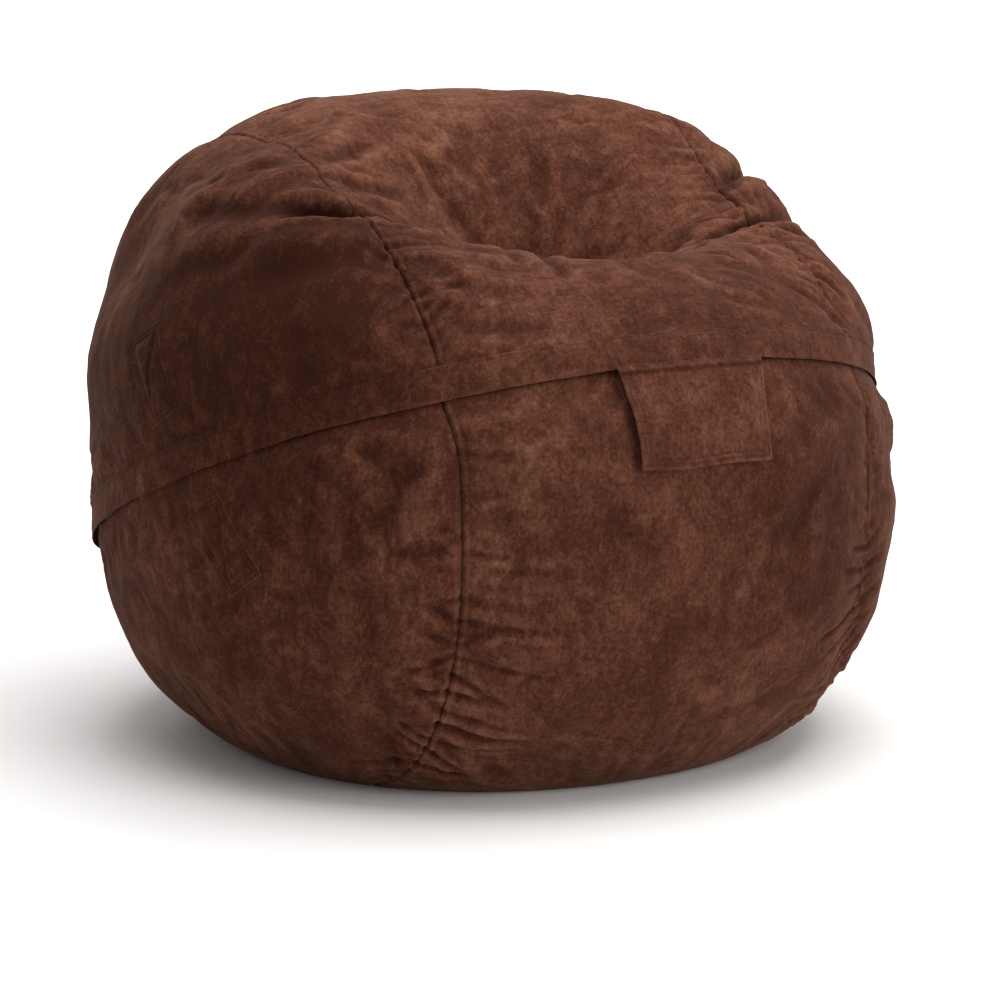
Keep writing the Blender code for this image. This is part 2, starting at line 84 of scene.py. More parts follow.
def body_field(p):
    """Negative inside the filled bag, zero on its surface."""
    x, y, z = p[..., 0], p[..., 1] - MIDDLE_Y, p[..., 2]
    half_y = np.where(y < 0.0, HALF_FRONT, HALF_BACK)
    plan = (np.abs(x / HALF_WIDTH) ** PLAN_POWER + np.abs(y / half_y) ** PLAN_POWER) ** (1.0 / PLAN_POWER)
    drop = GIRTH_HEIGHT / (1.0 - BASE_SHARE ** LOW_POWERS[0]) ** (1.0 / LOW_POWERS[1])
    low = plan ** LOW_POWERS[0] + (np.maximum(GIRTH_HEIGHT - z, 0.0) / drop) ** LOW_POWERS[1]
    rise = np.maximum(z - GIRTH_HEIGHT, 0.0) / (CROWN * crown_share(x, y))
    high = plan ** HIGH_POWERS[0] + rise ** HIGH_POWERS[1]
    ball = np.where(z > GIRTH_HEIGHT, high, low) - 1.0
    from_centre = p - WAIST_CENTRE
    across = from_centre @ NORMAL
    radius = np.hypot(from_centre @ SIDEWARD, from_centre @ REARWARD) / WAIST_RADIUS
    near = np.exp(-((across / BELT_REACH) ** 2))
    return np.maximum((1.0 - near) * ball + near * (radius**3 - 1.0), -8.0 * z)


def surface_hit(origins, directions):
    """Where rays from inside the bag leave it, by bisection."""
    near = np.zeros(directions.shape[:-1])
    far = np.full(directions.shape[:-1], 0.9)
    for _ in range(24):
        middle = 0.5 * (near + far)
        inside = body_field(origins + directions * middle[..., None]) < 0.0
        near = np.where(inside, middle, near)
        far = np.where(inside, far, middle)
    return origins + directions * near[..., None]


def outward(p):
    """The surface's unit normals, from the field's slope."""
    step = 4.0e-4
    slopes = [(body_field(p + step * e) - body_field(p - step * e)) for e in np.eye(3)]
    slope = np.stack(slopes, axis=-1)
    return slope / np.linalg.norm(slope, axis=-1, keepdims=True)


def belt_point(degrees, across):
    """Points of the surface by their angle round the waist and height across it."""
    angle = np.radians(degrees)
    spoke = np.cos(angle)[..., None] * SIDEWARD + np.sin(angle)[..., None] * REARWARD
    return surface_hit(WAIST_CENTRE + np.asarray(across)[..., None] * NORMAL, spoke)


def half_turn(half):
    """Where the upper or lower half of the band starts and ends, as angles round it."""
    start = -WAIST_TILT if half > 0 else math.pi - WAIST_TILT
    return start, start + math.pi


def band_point(x, angle, half=0):
    """Points of the band by their place across it and angle round it."""
    x, angle = np.broadcast_arrays(np.asarray(x, float), np.asarray(angle, float))
    origins = WAIST_CENTRE + half * ZIP_GAP * NORMAL + x[..., None] * SIDEWARD
    return surface_hit(origins, np.stack([0.0 * angle, np.cos(angle), np.sin(angle)], axis=-1))


def side_point(side, lean, angle, half=0):
    """Points of a side panel: lean is 0 at its middle and a quarter turn at its seam."""
    lean, angle = np.broadcast_arrays(np.asarray(lean, float), np.asarray(angle, float))
    origin = WAIST_CENTRE + half * ZIP_GAP * NORMAL + side * (SEAM_X + SEAM_GAP) * SIDEWARD
    rays = [side * np.cos(lean), np.sin(lean) * np.cos(angle), np.sin(lean) * np.sin(angle)]
    directions = np.stack(rays, axis=-1)
    return surface_hit(np.broadcast_to(origin, directions.shape), directions)


def towards(points):
    """Points near the surface moved onto it along rays from the waist's centre."""
    rays = np.asarray(points, float) - WAIST_CENTRE
    rays /= np.linalg.norm(rays, axis=-1, keepdims=True)
    return surface_hit(np.broadcast_to(WAIST_CENTRE, rays.shape), rays)


def noise(p, scale, seed):
    """Smooth random values from -1 to 1, the same on each run."""
    table = np.random.default_rng(seed).uniform(-1.0, 1.0, (32, 32, 32))
    q = p * scale + 50.0
    cell = np.floor(q).astype(int)
    part = q - cell
    part = part * part * (3.0 - 2.0 * part)
    total = np.zeros(p.shape[:-1])
    for corner in np.ndindex(2, 2, 2):
        at = [(cell[..., k] + corner[k]) % 32 for k in range(3)]
        share = np.prod([part[..., k] if corner[k] else 1.0 - part[..., k] for k in range(3)], axis=0)
        total += share * table[at[0], at[1], at[2]]
    return total


# ---------------------------------------------------------------- folds in the cloth
class Folds:
    """Valleys (depth above 0) and ridges along lines on the surface."""

    def __init__(self):
        self.lines = []

    def add(self, points, width, depth, ends=(0.0, 0.0), shoulder=0.35):
        """A line through points. ends are its depth at each end over that at its middle."""
        points = np.asarray(points, float)
        runs = np.linalg.norm(np.diff(points, axis=0), axis=1)
        at = np.concatenate([[0.0], np.cumsum(runs)])
        count = max(4, int(at[-1] / (0.4 * width)) + 1)
        t = np.linspace(0.0, at[-1], count)
        line = np.stack([np.interp(t, at, points[:, k]) for k in range(3)], axis=-1)
        for _ in range(3):  # rounds its corners
            line[1:-1] = 0.25 * line[:-2] + 0.5 * line[1:-1] + 0.25 * line[2:]
        line = towards(line)
        s = t / at[-1]
        swell = ends[0] + (1.0 - ends[0]) * ease(s * 2.6) if ends[0] < 1.0 else np.ones_like(s)
        fade = ends[1] + (1.0 - ends[1]) * ease((1.0 - s) * 2.0) if ends[1] < 1.0 else np.ones_like(s)
        self.lines.append((line, width, depth * swell * fade, shoulder))

    def depth(self, p):
        """How far each point sinks."""
        total = np.zeros(len(p))
        for line, width, depths, shoulder in self.lines:
            reach = 3.6 * width
            near = np.all((p > line.min(0) - reach) & (p < line.max(0) + reach), axis=1)
            index = np.nonzero(near)[0]
            if not len(index):
                continue
            gaps = np.linalg.norm(p[index, None, :] - line[None], axis=2)
            nearest = gaps.argmin(axis=1)
            gap = gaps[np.arange(len(index)), nearest] / width
            swell = shoulder * np.exp(-(((gap - 1.75) / 0.75) ** 2))
            total[index] += depths[nearest] * (np.exp(-(gap**2)) - swell)
        return total


def broad_shape():
    """Slumps and swellings of the filling, which reach through every layer."""
    folds = Folds()
    add = folds.add
    broad = dict(ends=(1.0, 1.0), shoulder=0.0)
    add([(-.12, .09, .773), (.02, .09, .776), (.12, .08, .77)], .09, .004, **broad)
    add([(-.22, .06, .75), (-.14, .08, .77)], .06, .006, **broad)
    add([(-.27, .06, .745), (-.34, .056, .715), (-.40, .08, .66), (-.42, .11, .61)], .07, .019, **broad)
    add([(.22, .05, .75), (.30, .02, .72)], .05, -.010, **broad)
    add([(-.47, -.06, .51), (-.475, .04, .49), (-.46, .14, .47)], .08, -.014, **broad)
    add([(.42, -.12, .57), (.45, -.10, .47)], .08, .014, **broad)
    add([(.12, .07, .775), (.20, .06, .76)], .05, .006, **broad)
    return folds


def hand_folds():
    """The folds that have a place of their own, each from a few points along it."""
    folds = Folds()
    add = folds.add
    # the deep crease at the -X corner of the seat, with the roll of cloth below it
    crease = [(-.37, -.11, .655), (-.335, -.145, .667), (-.30, -.172, .664), (-.265, -.180, .66)]
    add([*crease, (-.23, -.172, .65)], .015, .022)
    crease = [(-.355, -.125, .66), (-.32, -.158, .667), (-.285, -.176, .664), (-.25, -.178, .656)]
    add([*crease, (-.215, -.176, .642)], .007, .022)
    add([(-.26, -.182, .657), (-.20, -.18, .635), (-.15, -.18, .61), (-.11, -.19, .59)], .012, .016)
    add([(-.25, -.215, .645), (-.20, -.215, .63), (-.14, -.22, .61)], .012, -.007)
    add([(-.40, -.125, .61), (-.365, -.175, .625), (-.31, -.22, .635), (-.25, -.235, .63)], .022, -.009)
    add([(-.36, -.135, .655), (-.372, -.165, .625)], .005, .005)
    add([(-.34, -.155, .66), (-.348, -.18, .638)], .005, .0045)
    add([(-.32, -.17, .66), (-.322, -.195, .642)], .004, .003)
    # rolls on the -X side of the back, running up from the seam
    add([(-.275, -.045, .72), (-.18, .03, .75), (-.105, .07, .766)], .016, -.006)
    add([(-.27, -.07, .705), (-.19, -.01, .735), (-.13, .02, .745)], .010, .006)
    add([(-.11, -.005, .705), (-.03, .022, .725)], .012, -.004)
    add([(-.27, -.02, .73), (-.20, .02, .752)], .007, .004)
    add([(-.27, -.10, .695), (-.20, -.07, .69), (-.15, -.05, .69)], .010, .006)
    # soft folds that spread from the deep crease over the side panel
    add([(-.36, -.12, .66), (-.40, -.03, .652), (-.432, .02, .61)], .016, .006)
    add([(-.37, -.045, .68), (-.40, .035, .663)], .014, -.004)
    add([(-.345, -.01, .71), (-.37, .01, .693), (-.395, .05, .67)], .012, .004)
    add([(-.37, -.13, .645), (-.42, -.06, .61), (-.452, .0, .555)], .018, -.005)
    add([(-.38, -.14, .63), (-.43, -.10, .58)], .014, .004)
    add([(-.30, -.06, .71), (-.335, -.03, .705), (-.36, .0, .70)], .010, .004)
    # the notch in the seat's lip, and creases along it
    add([(-.09, -.19, .56), (-.093, -.27, .60), (-.10, -.345, .58)], .010, .009)
    add([(-.25, -.215, .64), (-.16, -.25, .62), (-.09, -.27, .605)], .014, -.006)
    add([(-.06, -.28, .60), (.03, -.29, .598), (.12, -.26, .60)], .016, -.004)
    add([(-.20, -.15, .63), (-.12, -.17, .59), (-.05, -.16, .56)], .012, .005)
    # pinched corner at +X: a valley each side of a roll, gathered between them
    valley = [(.395, .01, .65), (.355, -.03, .678), (.32, -.06, .675), (.285, -.092, .663)]
    longer = [(.43, .06, .60), *valley, (.25, -.118, .64), (.21, -.125, .62)]
    add(longer, .016, .013, ends=(.5, 0.), shoulder=0.1)
    add(valley, .006, .008)
    add([(.36, -.05, .668), (.33, -.09, .66), (.285, -.12, .645)], .019, -.005)
    valley = [(.43, -.06, .59), (.39, -.092, .625), (.345, -.128, .634), (.30, -.152, .63)]
    valley += [(.25, -.163, .62), (.19, -.172, .60), (.12, -.195, .58)]
    add(valley, .012, .013, ends=(.5, 0.), shoulder=0.15)
    add([(.355, -.12, .632), (.30, -.150, .63), (.25, -.161, .62), (.20, -.170, .603)], .005, .009)
    add([(.30, -.175, .62), (.33, -.178, .61), (.37, -.16, .60)], .008, .008)
    gathers = (
        ((.395, -.02, .65), (.405, -.07, .62)), ((.37, -.035, .665), (.375, -.095, .635)),
        ((.345, -.05, .673), (.345, -.12, .637)), ((.325, -.065, .672), (.32, -.135, .637)),
        ((.305, -.08, .668), (.297, -.14, .635)), ((.28, -.10, .657), (.275, -.145, .632)),
    )
    for gather in gathers:
        add(gather, .0042, .0036, ends=(.7, .2), shoulder=.5)
    add([(.10, -.22, .585), (.17, -.20, .60), (.22, -.185, .615)], .010, .005)
    add([(.24, -.20, .62), (.29, -.21, .605), (.33, -.20, .59)], .007, .005)
    add([(.22, -.225, .615), (.27, -.24, .60), (.31, -.235, .58)], .006, .004)
    # crumpled cloth on the band between the +X corner and the waist
    add([(.225, -.27, .595), (.26, -.28, .585), (.275, -.31, .56)], .008, .004)
    add([(.18, -.24, .605), (.20, -.285, .595), (.19, -.33, .57)], .010, .004)
    add([(.10, -.30, .60), (.15, -.315, .59), (.21, -.335, .56)], .012, .0035)
    add([(.05, -.365, .57), (.10, -.38, .557), (.16, -.385, .54)], .009, .003)
    add([(.13, -.345, .575), (.17, -.37, .55)], .008, -.003)
    add([(.24, -.32, .56), (.26, -.345, .53), (.265, -.365, .50)], .010, .004)
    add([(-.02, -.33, .59), (.03, -.35, .58), (.09, -.345, .58)], .011, .003)
    add([(.27, -.28, .585), (.30, -.29, .565), (.32, -.31, .53)], .006, .005)
    add([(.29, -.26, .59), (.325, -.27, .56), (.34, -.285, .52)], .006, -.003)
    add([(.23, -.30, .585), (.27, -.315, .56), (.29, -.335, .52)], .007, .0045)
    add([(.19, -.33, .575), (.235, -.345, .55), (.27, -.36, .51)], .008, .004)
    add([(.12, -.27, .605), (.155, -.285, .60), (.17, -.32, .585)], .007, .0035)
    add([(-.22, -.27, .61), (-.16, -.30, .60), (-.10, -.32, .59)], .010, .0035)
    add([(-.26, -.26, .60), (-.21, -.32, .58), (-.13, -.36, .56)], .012, .004)
    add([(-.27, -.33, .545), (-.20, -.37, .54), (-.12, -.395, .535)], .010, .0035)
    return folds


def seam_gathers(folds, seed):
    """Short creases that run out from both sides of the seams, where the cloth is eased in."""
    rng = np.random.default_rng(seed)
    for side in (-1, 1):
        angle = 0.0
        while angle < 2.0 * math.pi:
            angle += rng.uniform(0.030, 0.075)
            seam = band_point(side * SEAM_X, np.array([angle]))[0]
            if seam[2] < 0.012:
                continue
            low, front = ease((0.38 - seam[2]) / 0.22), seam[1] < 0.0
            corner = math.exp(-(((seam[2] - 0.61) / 0.11) ** 2)) * (1.0 if front else 0.35)
            strength = 0.22 + (1.25 if front else 0.78) * low + 0.6 * corner
            waist = abs(float((seam - WAIST_CENTRE) @ NORMAL))
            if waist < 0.045:
                strength *= 0.3
            for panel in ("band", "side"):
                if rng.random() > 0.35 + 0.6 * strength:
                    continue
                length = rng.uniform(0.025, 0.060) + 0.055 * strength * rng.random()
                drift = rng.normal(0.0, 0.05)
                s = np.linspace(0.0, 1.0, 6)
                if panel == "band":
                    path = band_point(side * (SEAM_X - 0.003 - length * s), angle + drift * s)
                else:
                    lean = 0.5 * math.pi - 0.006 - 0.55 * length / 0.42 * s
                    path = side_point(side, lean, angle + drift * s)
                width = rng.uniform(0.0036, 0.0062)
                depth = strength * rng.uniform(0.0016, 0.0042) * (0.75 if panel == "side" else 1.0)
                folds.add(path, width, depth, ends=(1.0, 0.0), shoulder=0.45)


def loose_folds(folds, seed, count=260):
    """Small, shallow, wandering creases all over the cover."""
    rng = np.random.default_rng(seed)
    for _ in range(count):
        ray = rng.normal(size=3)
        ray[2] = abs(ray[2]) * rng.choice([1.0, -0.6])
        start = towards((WAIST_CENTRE + 0.3 * ray / np.linalg.norm(ray))[None])[0]
        if start[2] < 0.05:
            continue
        out = outward(start[None])[0]
        heading = np.cross(out, rng.normal(size=3))
        heading /= np.linalg.norm(heading)
        path = [start]
        step = rng.uniform(0.010, 0.022)
        for _ in range(5):
            heading = heading + rng.normal(0.0, 0.25, 3)
            heading /= np.linalg.norm(heading)
            path.append(path[-1] + step * heading)
        top = 1.0 + 1.5 * ease((start[2] - 0.48) / 0.15)
        depth = top * rng.choice([1.0, -0.8]) * rng.uniform(0.0007, 0.0018)
        folds.add(towards(path), rng.uniform(0.0045, 0.011), depth)


# ---------------------------------------------------------------- cloth simulation of the stuffed bag
CUBE = 72  # cells along each edge of the cube whose faces are wrapped round the bag
FRAMES = 20


def cube_rays(face, u, v):
    """Rays through a cube's face, with u and v from -1 to 1 spaced evenly by angle."""
    a, b = np.tan(0.25 * math.pi * u), np.tan(0.25 * math.pi * v)
    axis, sign = face // 2, 1.0 if face % 2 == 0 else -1.0
    rays = [None, None, None]
    rays[axis], rays[(axis + 1) % 3], rays[(axis + 2) % 3] = sign * np.ones_like(a), a, b
    rays = np.stack(rays, axis=-1)
    return rays / np.linalg.norm(rays, axis=-1, keepdims=True)


def simulate_cloth():
    """Presses cloth that is cut a little large against the stuffed bag. Gives each cube face's relief."""
    steps = np.linspace(-1.0, 1.0, CUBE + 1)
    v, u = np.meshgrid(steps, steps)
    rays = np.concatenate([cube_rays(face, u.ravel(), v.ravel()) for face in range(6)])
    keys, index, back = np.unique(np.round(rays, 5), axis=0, return_index=True, return_inverse=True)
    back = back.reshape(6, CUBE + 1, CUBE + 1)
    points = surface_hit(np.broadcast_to(WAIST_CENTRE, (len(keys), 3)), rays[index])
    out = outward(points)
    quads = np.stack([back[:, :-1, :-1], back[:, 1:, :-1], back[:, 1:, 1:], back[:, :-1, 1:]], axis=-1)
    quads[1::2] = quads[1::2, ..., ::-1]
    mesh = make_mesh("cloth_trial", points, quads.reshape(-1, 4))
    bag = bpy.data.objects.new("cloth_trial", mesh)
    bpy.context.scene.collection.objects.link(bag)
    across = np.abs((points - WAIST_CENTRE) @ NORMAL)
    seam = np.abs(np.abs(points[:, 0]) - SEAM_X)
    sewn = np.maximum(np.exp(-((seam / 0.009) ** 2)), np.exp(-((across / 0.018) ** 2)))
    hold = np.clip(0.035 + 0.5 * np.exp(-((across / 0.020) ** 2)) + (points[:, 2] < 0.012), 0.0, 1.0)
    for name, weights in (("sewn", sewn), ("hold", hold)):
        group = bag.vertex_groups.new(name=name)
        for level in np.unique(np.round(weights, 2)):
            chosen = np.nonzero(np.round(weights, 2) == level)[0]
            group.add(chosen.tolist(), float(level), "REPLACE")
    cloth = bag.modifiers.new("cloth", "CLOTH").settings
    cloth.quality = 6
    cloth.mass = 0.3
    cloth.tension_stiffness = cloth.compression_stiffness = 18.0
    cloth.shear_stiffness = 8.0
    cloth.bending_stiffness = 0.12
    cloth.use_pressure, cloth.uniform_pressure_force = True, 1.5
    cloth.effector_weights.gravity = 0.0
    cloth.vertex_group_mass, cloth.pin_stiffness = "hold", 1.0
    cloth.shrink_min, cloth.shrink_max, cloth.vertex_group_shrink = -0.055, 0.03, "sewn"
    scene = bpy.context.scene
    scene.frame_start, scene.frame_end = 1, FRAMES
    for number in range(1, FRAMES + 1):
        scene.frame_set(number)
    shown = bag.evaluated_get(bpy.context.evaluated_depsgraph_get())
    moved = np.empty(3 * len(points))
    shown.data.vertices.foreach_get("co", moved)
    relief = np.einsum("ij,ij->i", moved.reshape(-1, 3) - points, out)
    edges = np.empty(2 * len(mesh.edges), int)
    mesh.edges.foreach_get("vertices", edges)
    first, second = edges.reshape(-1, 2).T
    count = np.bincount(edges, minlength=len(points))
    broad = relief.copy()
    for _ in range(40):
        around = np.bincount(first, broad[second], len(points))
        around = around + np.bincount(second, broad[first], len(points))
        broad = 0.4 * broad + 0.6 * around / count
    scene.frame_set(1)
    bpy.data.objects.remove(bag)
    return np.clip(relief - broad, -0.008, 0.008)[back]


def cloth_relief(p, faces):
    """The simulated cloth's height over the smooth shape at points of the surface."""
    rays = p - WAIST_CENTRE
    axis = np.abs(rays).argmax(axis=1)
    rows = np.arange(len(p))
    main = rays[rows, axis]
    face = 2 * axis + (main < 0.0)
    a, b = rays[rows, (axis + 1) % 3] / np.abs(main), rays[rows, (axis + 2) % 3] / np.abs(main)
    across = [(np.arctan(k) / (0.25 * math.pi) + 1.0) * 0.5 * CUBE for k in (a, b)]
    cell = [np.clip(np.floor(k).astype(int), 0, CUBE - 1) for k in across]
    part = [ease(k - c) * 0.5 + 0.5 * (k - c) for k, c in zip(across, cell)]
    total = np.zeros(len(p))
    for i, j in ((0, 0), (0, 1), (1, 0), (1, 1)):
        share = (part[0] if i else 1.0 - part[0]) * (part[1] if j else 1.0 - part[1])
        total += share * faces[face, cell[0] + i, cell[1] + j]
    return total


def make_mesh(name, points, quads):
    mesh = bpy.data.meshes.new(name)
    mesh.vertices.add(len(points))
    mesh.vertices.foreach_set("co", np.asarray(points, np.float32).ravel())
    quads = np.asarray(quads, np.int32)
    mesh.loops.add(quads.size)
    mesh.polygons.add(len(quads))
    mesh.loops.foreach_set("vertex_index", quads.ravel())
    mesh.polygons.foreach_set("loop_start", np.arange(len(quads), dtype=np.int32) * quads.shape[1])
    mesh.polygons.foreach_set("use_smooth", np.ones(len(quads), bool))
    mesh.update(calc_edges=True)
    mesh.validate()
    return mesh


# ---------------------------------------------------------------- the dressed surface
BROAD = broad_shape()
FOLDS = hand_folds()
seam_gathers(FOLDS, 11)
loose_folds(FOLDS, 23)
SIMULATED = simulate_cloth()
STITCH_INSET = 0.0075  # topstitching, in from the seam


def patch_shade(p):
    """1 in the middle of each side patch, 0 away from them."""
    shade = np.zeros(len(p))
    for centre, lean in zip(PATCH_CENTRES, PATCH_LEANS):
        from_centre = p - WAIST_CENTRE
        run, height = from_centre @ REARWARD - centre[1], from_centre @ NORMAL - centre[0]
        wide = run * math.cos(lean) - height * math.sin(lean)
        tall = run * math.sin(lean) + height * math.cos(lean)
        edge = np.maximum(np.abs(wide) - 0.5 * PATCH_WIDTH, np.abs(tall) - 0.5 * PATCH_LENGTH)
        shade = np.maximum(shade, np.where(np.abs(p[:, 0]) > 0.35, ease(1.0 - edge / 0.02), 0.0))
    return shade


TONES = (  # broad patches made lighter (above 0) or darker, partly the nap's own tone and partly painted light and shade: centre, reach, amount
    ((-0.02, 0.16, 0.77), 0.16, 0.045),
    ((-0.22, 0.10, 0.74), 0.08, 0.030),
    ((0.05, 0.02, 0.64), 0.12, -0.055),
    ((0.0, -0.40, 0.54), 0.10, -0.085),
    ((0.20, -0.36, 0.52), 0.10, -0.060),
    ((0.0, -0.27, 0.60), 0.07, -0.030),
    ((-0.17, -0.45, 0.40), 0.09, -0.010),
    ((0.16, -0.45, 0.33), 0.14, -0.105),
    ((0.28, -0.40, 0.22), 0.14, -0.040),
    ((-0.02, -0.40, 0.15), 0.13, -0.045),
    ((-0.39, -0.20, 0.57), 0.17, -0.150),
    ((-0.46, 0.08, 0.46), 0.13, -0.085),
    ((-0.36, -0.30, 0.42), 0.10, -0.030),
    ((-0.43, -0.20, 0.22), 0.12, -0.020),
    ((0.42, -0.24, 0.38), 0.11, -0.080),
    ((-0.40, 0.20, 0.60), 0.14, -0.050),
)


def painted_crease_shades():
    """Lines along the deepest creases, where painted shade darkens the cloth's colour."""
    shades = Folds()
    left = [(-.37, -.11, .655), (-.335, -.145, .667), (-.30, -.168, .666), (-.265, -.178, .66)]
    left += [(-.23, -.174, .65), (-.20, -.178, .637), (-.16, -.18, .615)]
    shades.add(left, .0065, .30, ends=(.2, .1), shoulder=0.0)
    right = [(.355, -.12, .632), (.30, -.150, .63), (.25, -.161, .62), (.20, -.170, .603), (.12, -.195, .58)]
    shades.add(right, .0060, .20, ends=(.3, .1), shoulder=0.0)
    above = [(.355, -.03, .678), (.32, -.06, .675), (.285, -.092, .663), (.25, -.118, .64)]
    shades.add(above, .0060, .16, shoulder=0.0)
    return shades


PAINTED_CREASE_SHADES = painted_crease_shades()


def nap_tone_and_shade(p):
    """How much lighter or darker the colour is at each point: the broad tones, partly painted light and
    shade, and painted shade along the deep creases.
    """
    total = -PAINTED_CREASE_SHADES.depth(p.reshape(-1, 3)).reshape(p.shape[:-1])
    for centre, reach, amount in TONES:
        total += amount * np.exp(-(((p - np.array(centre)) / reach) ** 2).sum(axis=-1))
    return total


def relief_of(p):
    """Height of the wrinkled cloth over the smooth shape."""
    height = 0.0030 * noise(p, 7.0, 1) + 0.0015 * noise(p, 17.0, 2) + 0.0009 * noise(p, 41.0, 3)
    height -= FOLDS.depth(p)
    if SIMULATED is not None:
        height += 0.62 * cloth_relief(p, SIMULATED)
    across = (p - WAIST_CENTRE) @ NORMAL
    covered = ease((across + 0.036) / 0.016) * ease((0.048 - across) / 0.014)
    height = height * (1.0 - 0.75 * patch_shade(p)) - BROAD.depth(p)
    height *= 1.0 - 0.93 * covered
    at_back = ease((p[:, 1] - 0.20) / 0.10)
    height -= 0.0030 * at_back * np.exp(-(((across + 0.008) / 0.007) ** 2))  # room for the slider
    return height * ease(p[:, 2] / 0.03)


def seam_relief(p, on_band):
    """The groove at each seam, and the topstitched allowance beside it on the band."""
    gap = np.abs(np.abs(p[:, 0]) - SEAM_X)
    height = -0.0034 * np.exp(-((gap / 0.0028) ** 2))
    if on_band:
        height += 0.0009 * ease(1.0 - gap / 0.011)
        height -= 0.0011 * np.exp(-(((gap - STITCH_INSET) / 0.0016) ** 2))
    return height


def dressed(p, on_band=False):
    """Points of the smooth shape moved onto the wrinkled cloth, how far each moved and its normal."""
    flat = p.reshape(-1, 3)
    out = outward(flat)
    height = relief_of(flat) + seam_relief(flat, on_band)
    moved = flat + height[:, None] * out
    moved[:, 2] = np.maximum(moved[:, 2], 0.0)
    return moved.reshape(p.shape), height.reshape(p.shape[:-1]), out.reshape(p.shape)


# ---------------------------------------------------------------- materials
def nodes_of(name):
    material = bpy.data.materials.new(name)
    material.use_nodes = True
    tree = material.node_tree
    return material, tree, tree.nodes["Principled BSDF"]


def add_node(tree, kind, inputs=(), **settings):
    node = tree.nodes.new(kind)
    for key, value in settings.items():
        setattr(node, key, value)
    for key, value in dict(inputs).items():
        if isinstance(value, bpy.types.NodeSocket):
            tree.links.new(value, node.inputs[key])
        else:
            node.inputs[key].default_value = value
    return node


def object_place(tree):
    return add_node(tree, "ShaderNodeTexCoord").outputs["Object"]


def add_bump(tree, shader, height, strength, distance):
    bump = add_node(tree, "ShaderNodeBump", {"Height": height, "Strength": strength, "Distance": distance})
    tree.links.new(bump.outputs["Normal"], shader.inputs["Normal"])


def maths(tree, operation, a, b=0.0, c=0.0):
    return add_node(tree, "ShaderNodeMath", {0: a, 1: b, 2: c}, operation=operation).outputs[0]


def ramp(tree, value, stops):
    node = add_node(tree, "ShaderNodeValToRGB", {"Fac": value})
    elements = node.color_ramp.elements
    while len(elements) > 1:
        elements.remove(elements[-1])
    elements[0].position, elements[0].color = stops[0][0], (*stops[0][1], 1.0)
    for place, colour in stops[1:]:
        elements.new(place).color = (*colour, 1.0)
    return node.outputs["Color"]


def noise_of(tree, where, scale, detail, roughness=0.5, distortion=0.0):
    node = add_node(tree, "ShaderNodeTexNoise", {"Vector": where, "Scale": scale, "Detail": detail})
    node.inputs["Roughness"].default_value = roughness
    node.inputs["Distortion"].default_value = distortion
    return node.outputs["Fac"]


def suede_material(name, shift=0.0):
    """Brown micro-suede: blotches where the nap is brushed each way, strokes, fine fibres, a soft sheen."""
    material, tree, shader = nodes_of(name)
    where = object_place(tree)
    turn = {"Vector": where, "Rotation": (0.5, 0.35, 0.6), "Scale": (1.0, 3.4, 1.2)}
    brushed = add_node(tree, "ShaderNodeMapping", turn).outputs["Vector"]
    turn = {"Vector": where, "Rotation": (1.1, -0.4, 0.2), "Scale": (3.0, 1.0, 1.4)}
    brushed_back = add_node(tree, "ShaderNodeMapping", turn).outputs["Vector"]
    blotches = noise_of(tree, where, 7.5, 4.0, 0.55, 0.7)
    marks = noise_of(tree, brushed, 11.0, 6.0, 0.66, 1.9)
    edges = noise_of(tree, where, 16.0, 5.0, 0.62, 1.3)
    edges = ramp(tree, edges, [(0.50, (0.0, 0.0, 0.0)), (0.60, (1.0, 1.0, 1.0))])
    strokes = noise_of(tree, brushed_back, 46.0, 5.0, 0.70, 0.9)
    specks = noise_of(tree, where, 210.0, 4.0, 0.72)
    fibres = noise_of(tree, where, 640.0, 2.0, 0.7)
    nap = maths(tree, "MULTIPLY", blotches, 0.18)
    for part, share in ((marks, 0.29), (edges, 0.045), (strokes, 0.27), (specks, 0.34), (fibres, 0.14)):
        nap = maths(tree, "MULTIPLY_ADD", part, share, nap)
    nap = maths(tree, "SUBTRACT", nap, 0.125)
    # per-point colour offset from the mesh: rubbed nap lighter, painted shade in creases darker
    worn_and_shaded = add_node(tree, "ShaderNodeAttribute", attribute_name="wear_and_shade").outputs["Fac"]
    nap = maths(tree, "ADD", maths(tree, "ADD", nap, worn_and_shaded), shift)
    stops = [
        (0.34, (0.0280, 0.0079, 0.0042)),
        (0.44, (0.0520, 0.0162, 0.0088)),
        (0.50, (0.0740, 0.0258, 0.0145)),
        (0.56, (0.1000, 0.0388, 0.0222)),
        (0.68, (0.1620, 0.0710, 0.0425)),
    ]
    tree.links.new(ramp(tree, nap, stops), shader.inputs["Base Color"])
    tree.links.new(maths(tree, "MULTIPLY_ADD", marks, -0.10, 0.97), shader.inputs["Roughness"])
    height = maths(tree, "MULTIPLY_ADD", specks, 0.9, maths(tree, "MULTIPLY", fibres, 0.45))
    height = maths(tree, "MULTIPLY_ADD", strokes, 1.6, height)
    add_bump(tree, shader, height, 0.55, 0.0011)
    shader.inputs["Specular IOR Level"].default_value = 0.06
    shader.inputs["Sheen Weight"].default_value = 0.09
    shader.inputs["Sheen Roughness"].default_value = 0.40
    shader.inputs["Sheen Tint"].default_value = (1.0, 0.56, 0.40, 1.0)
    return material


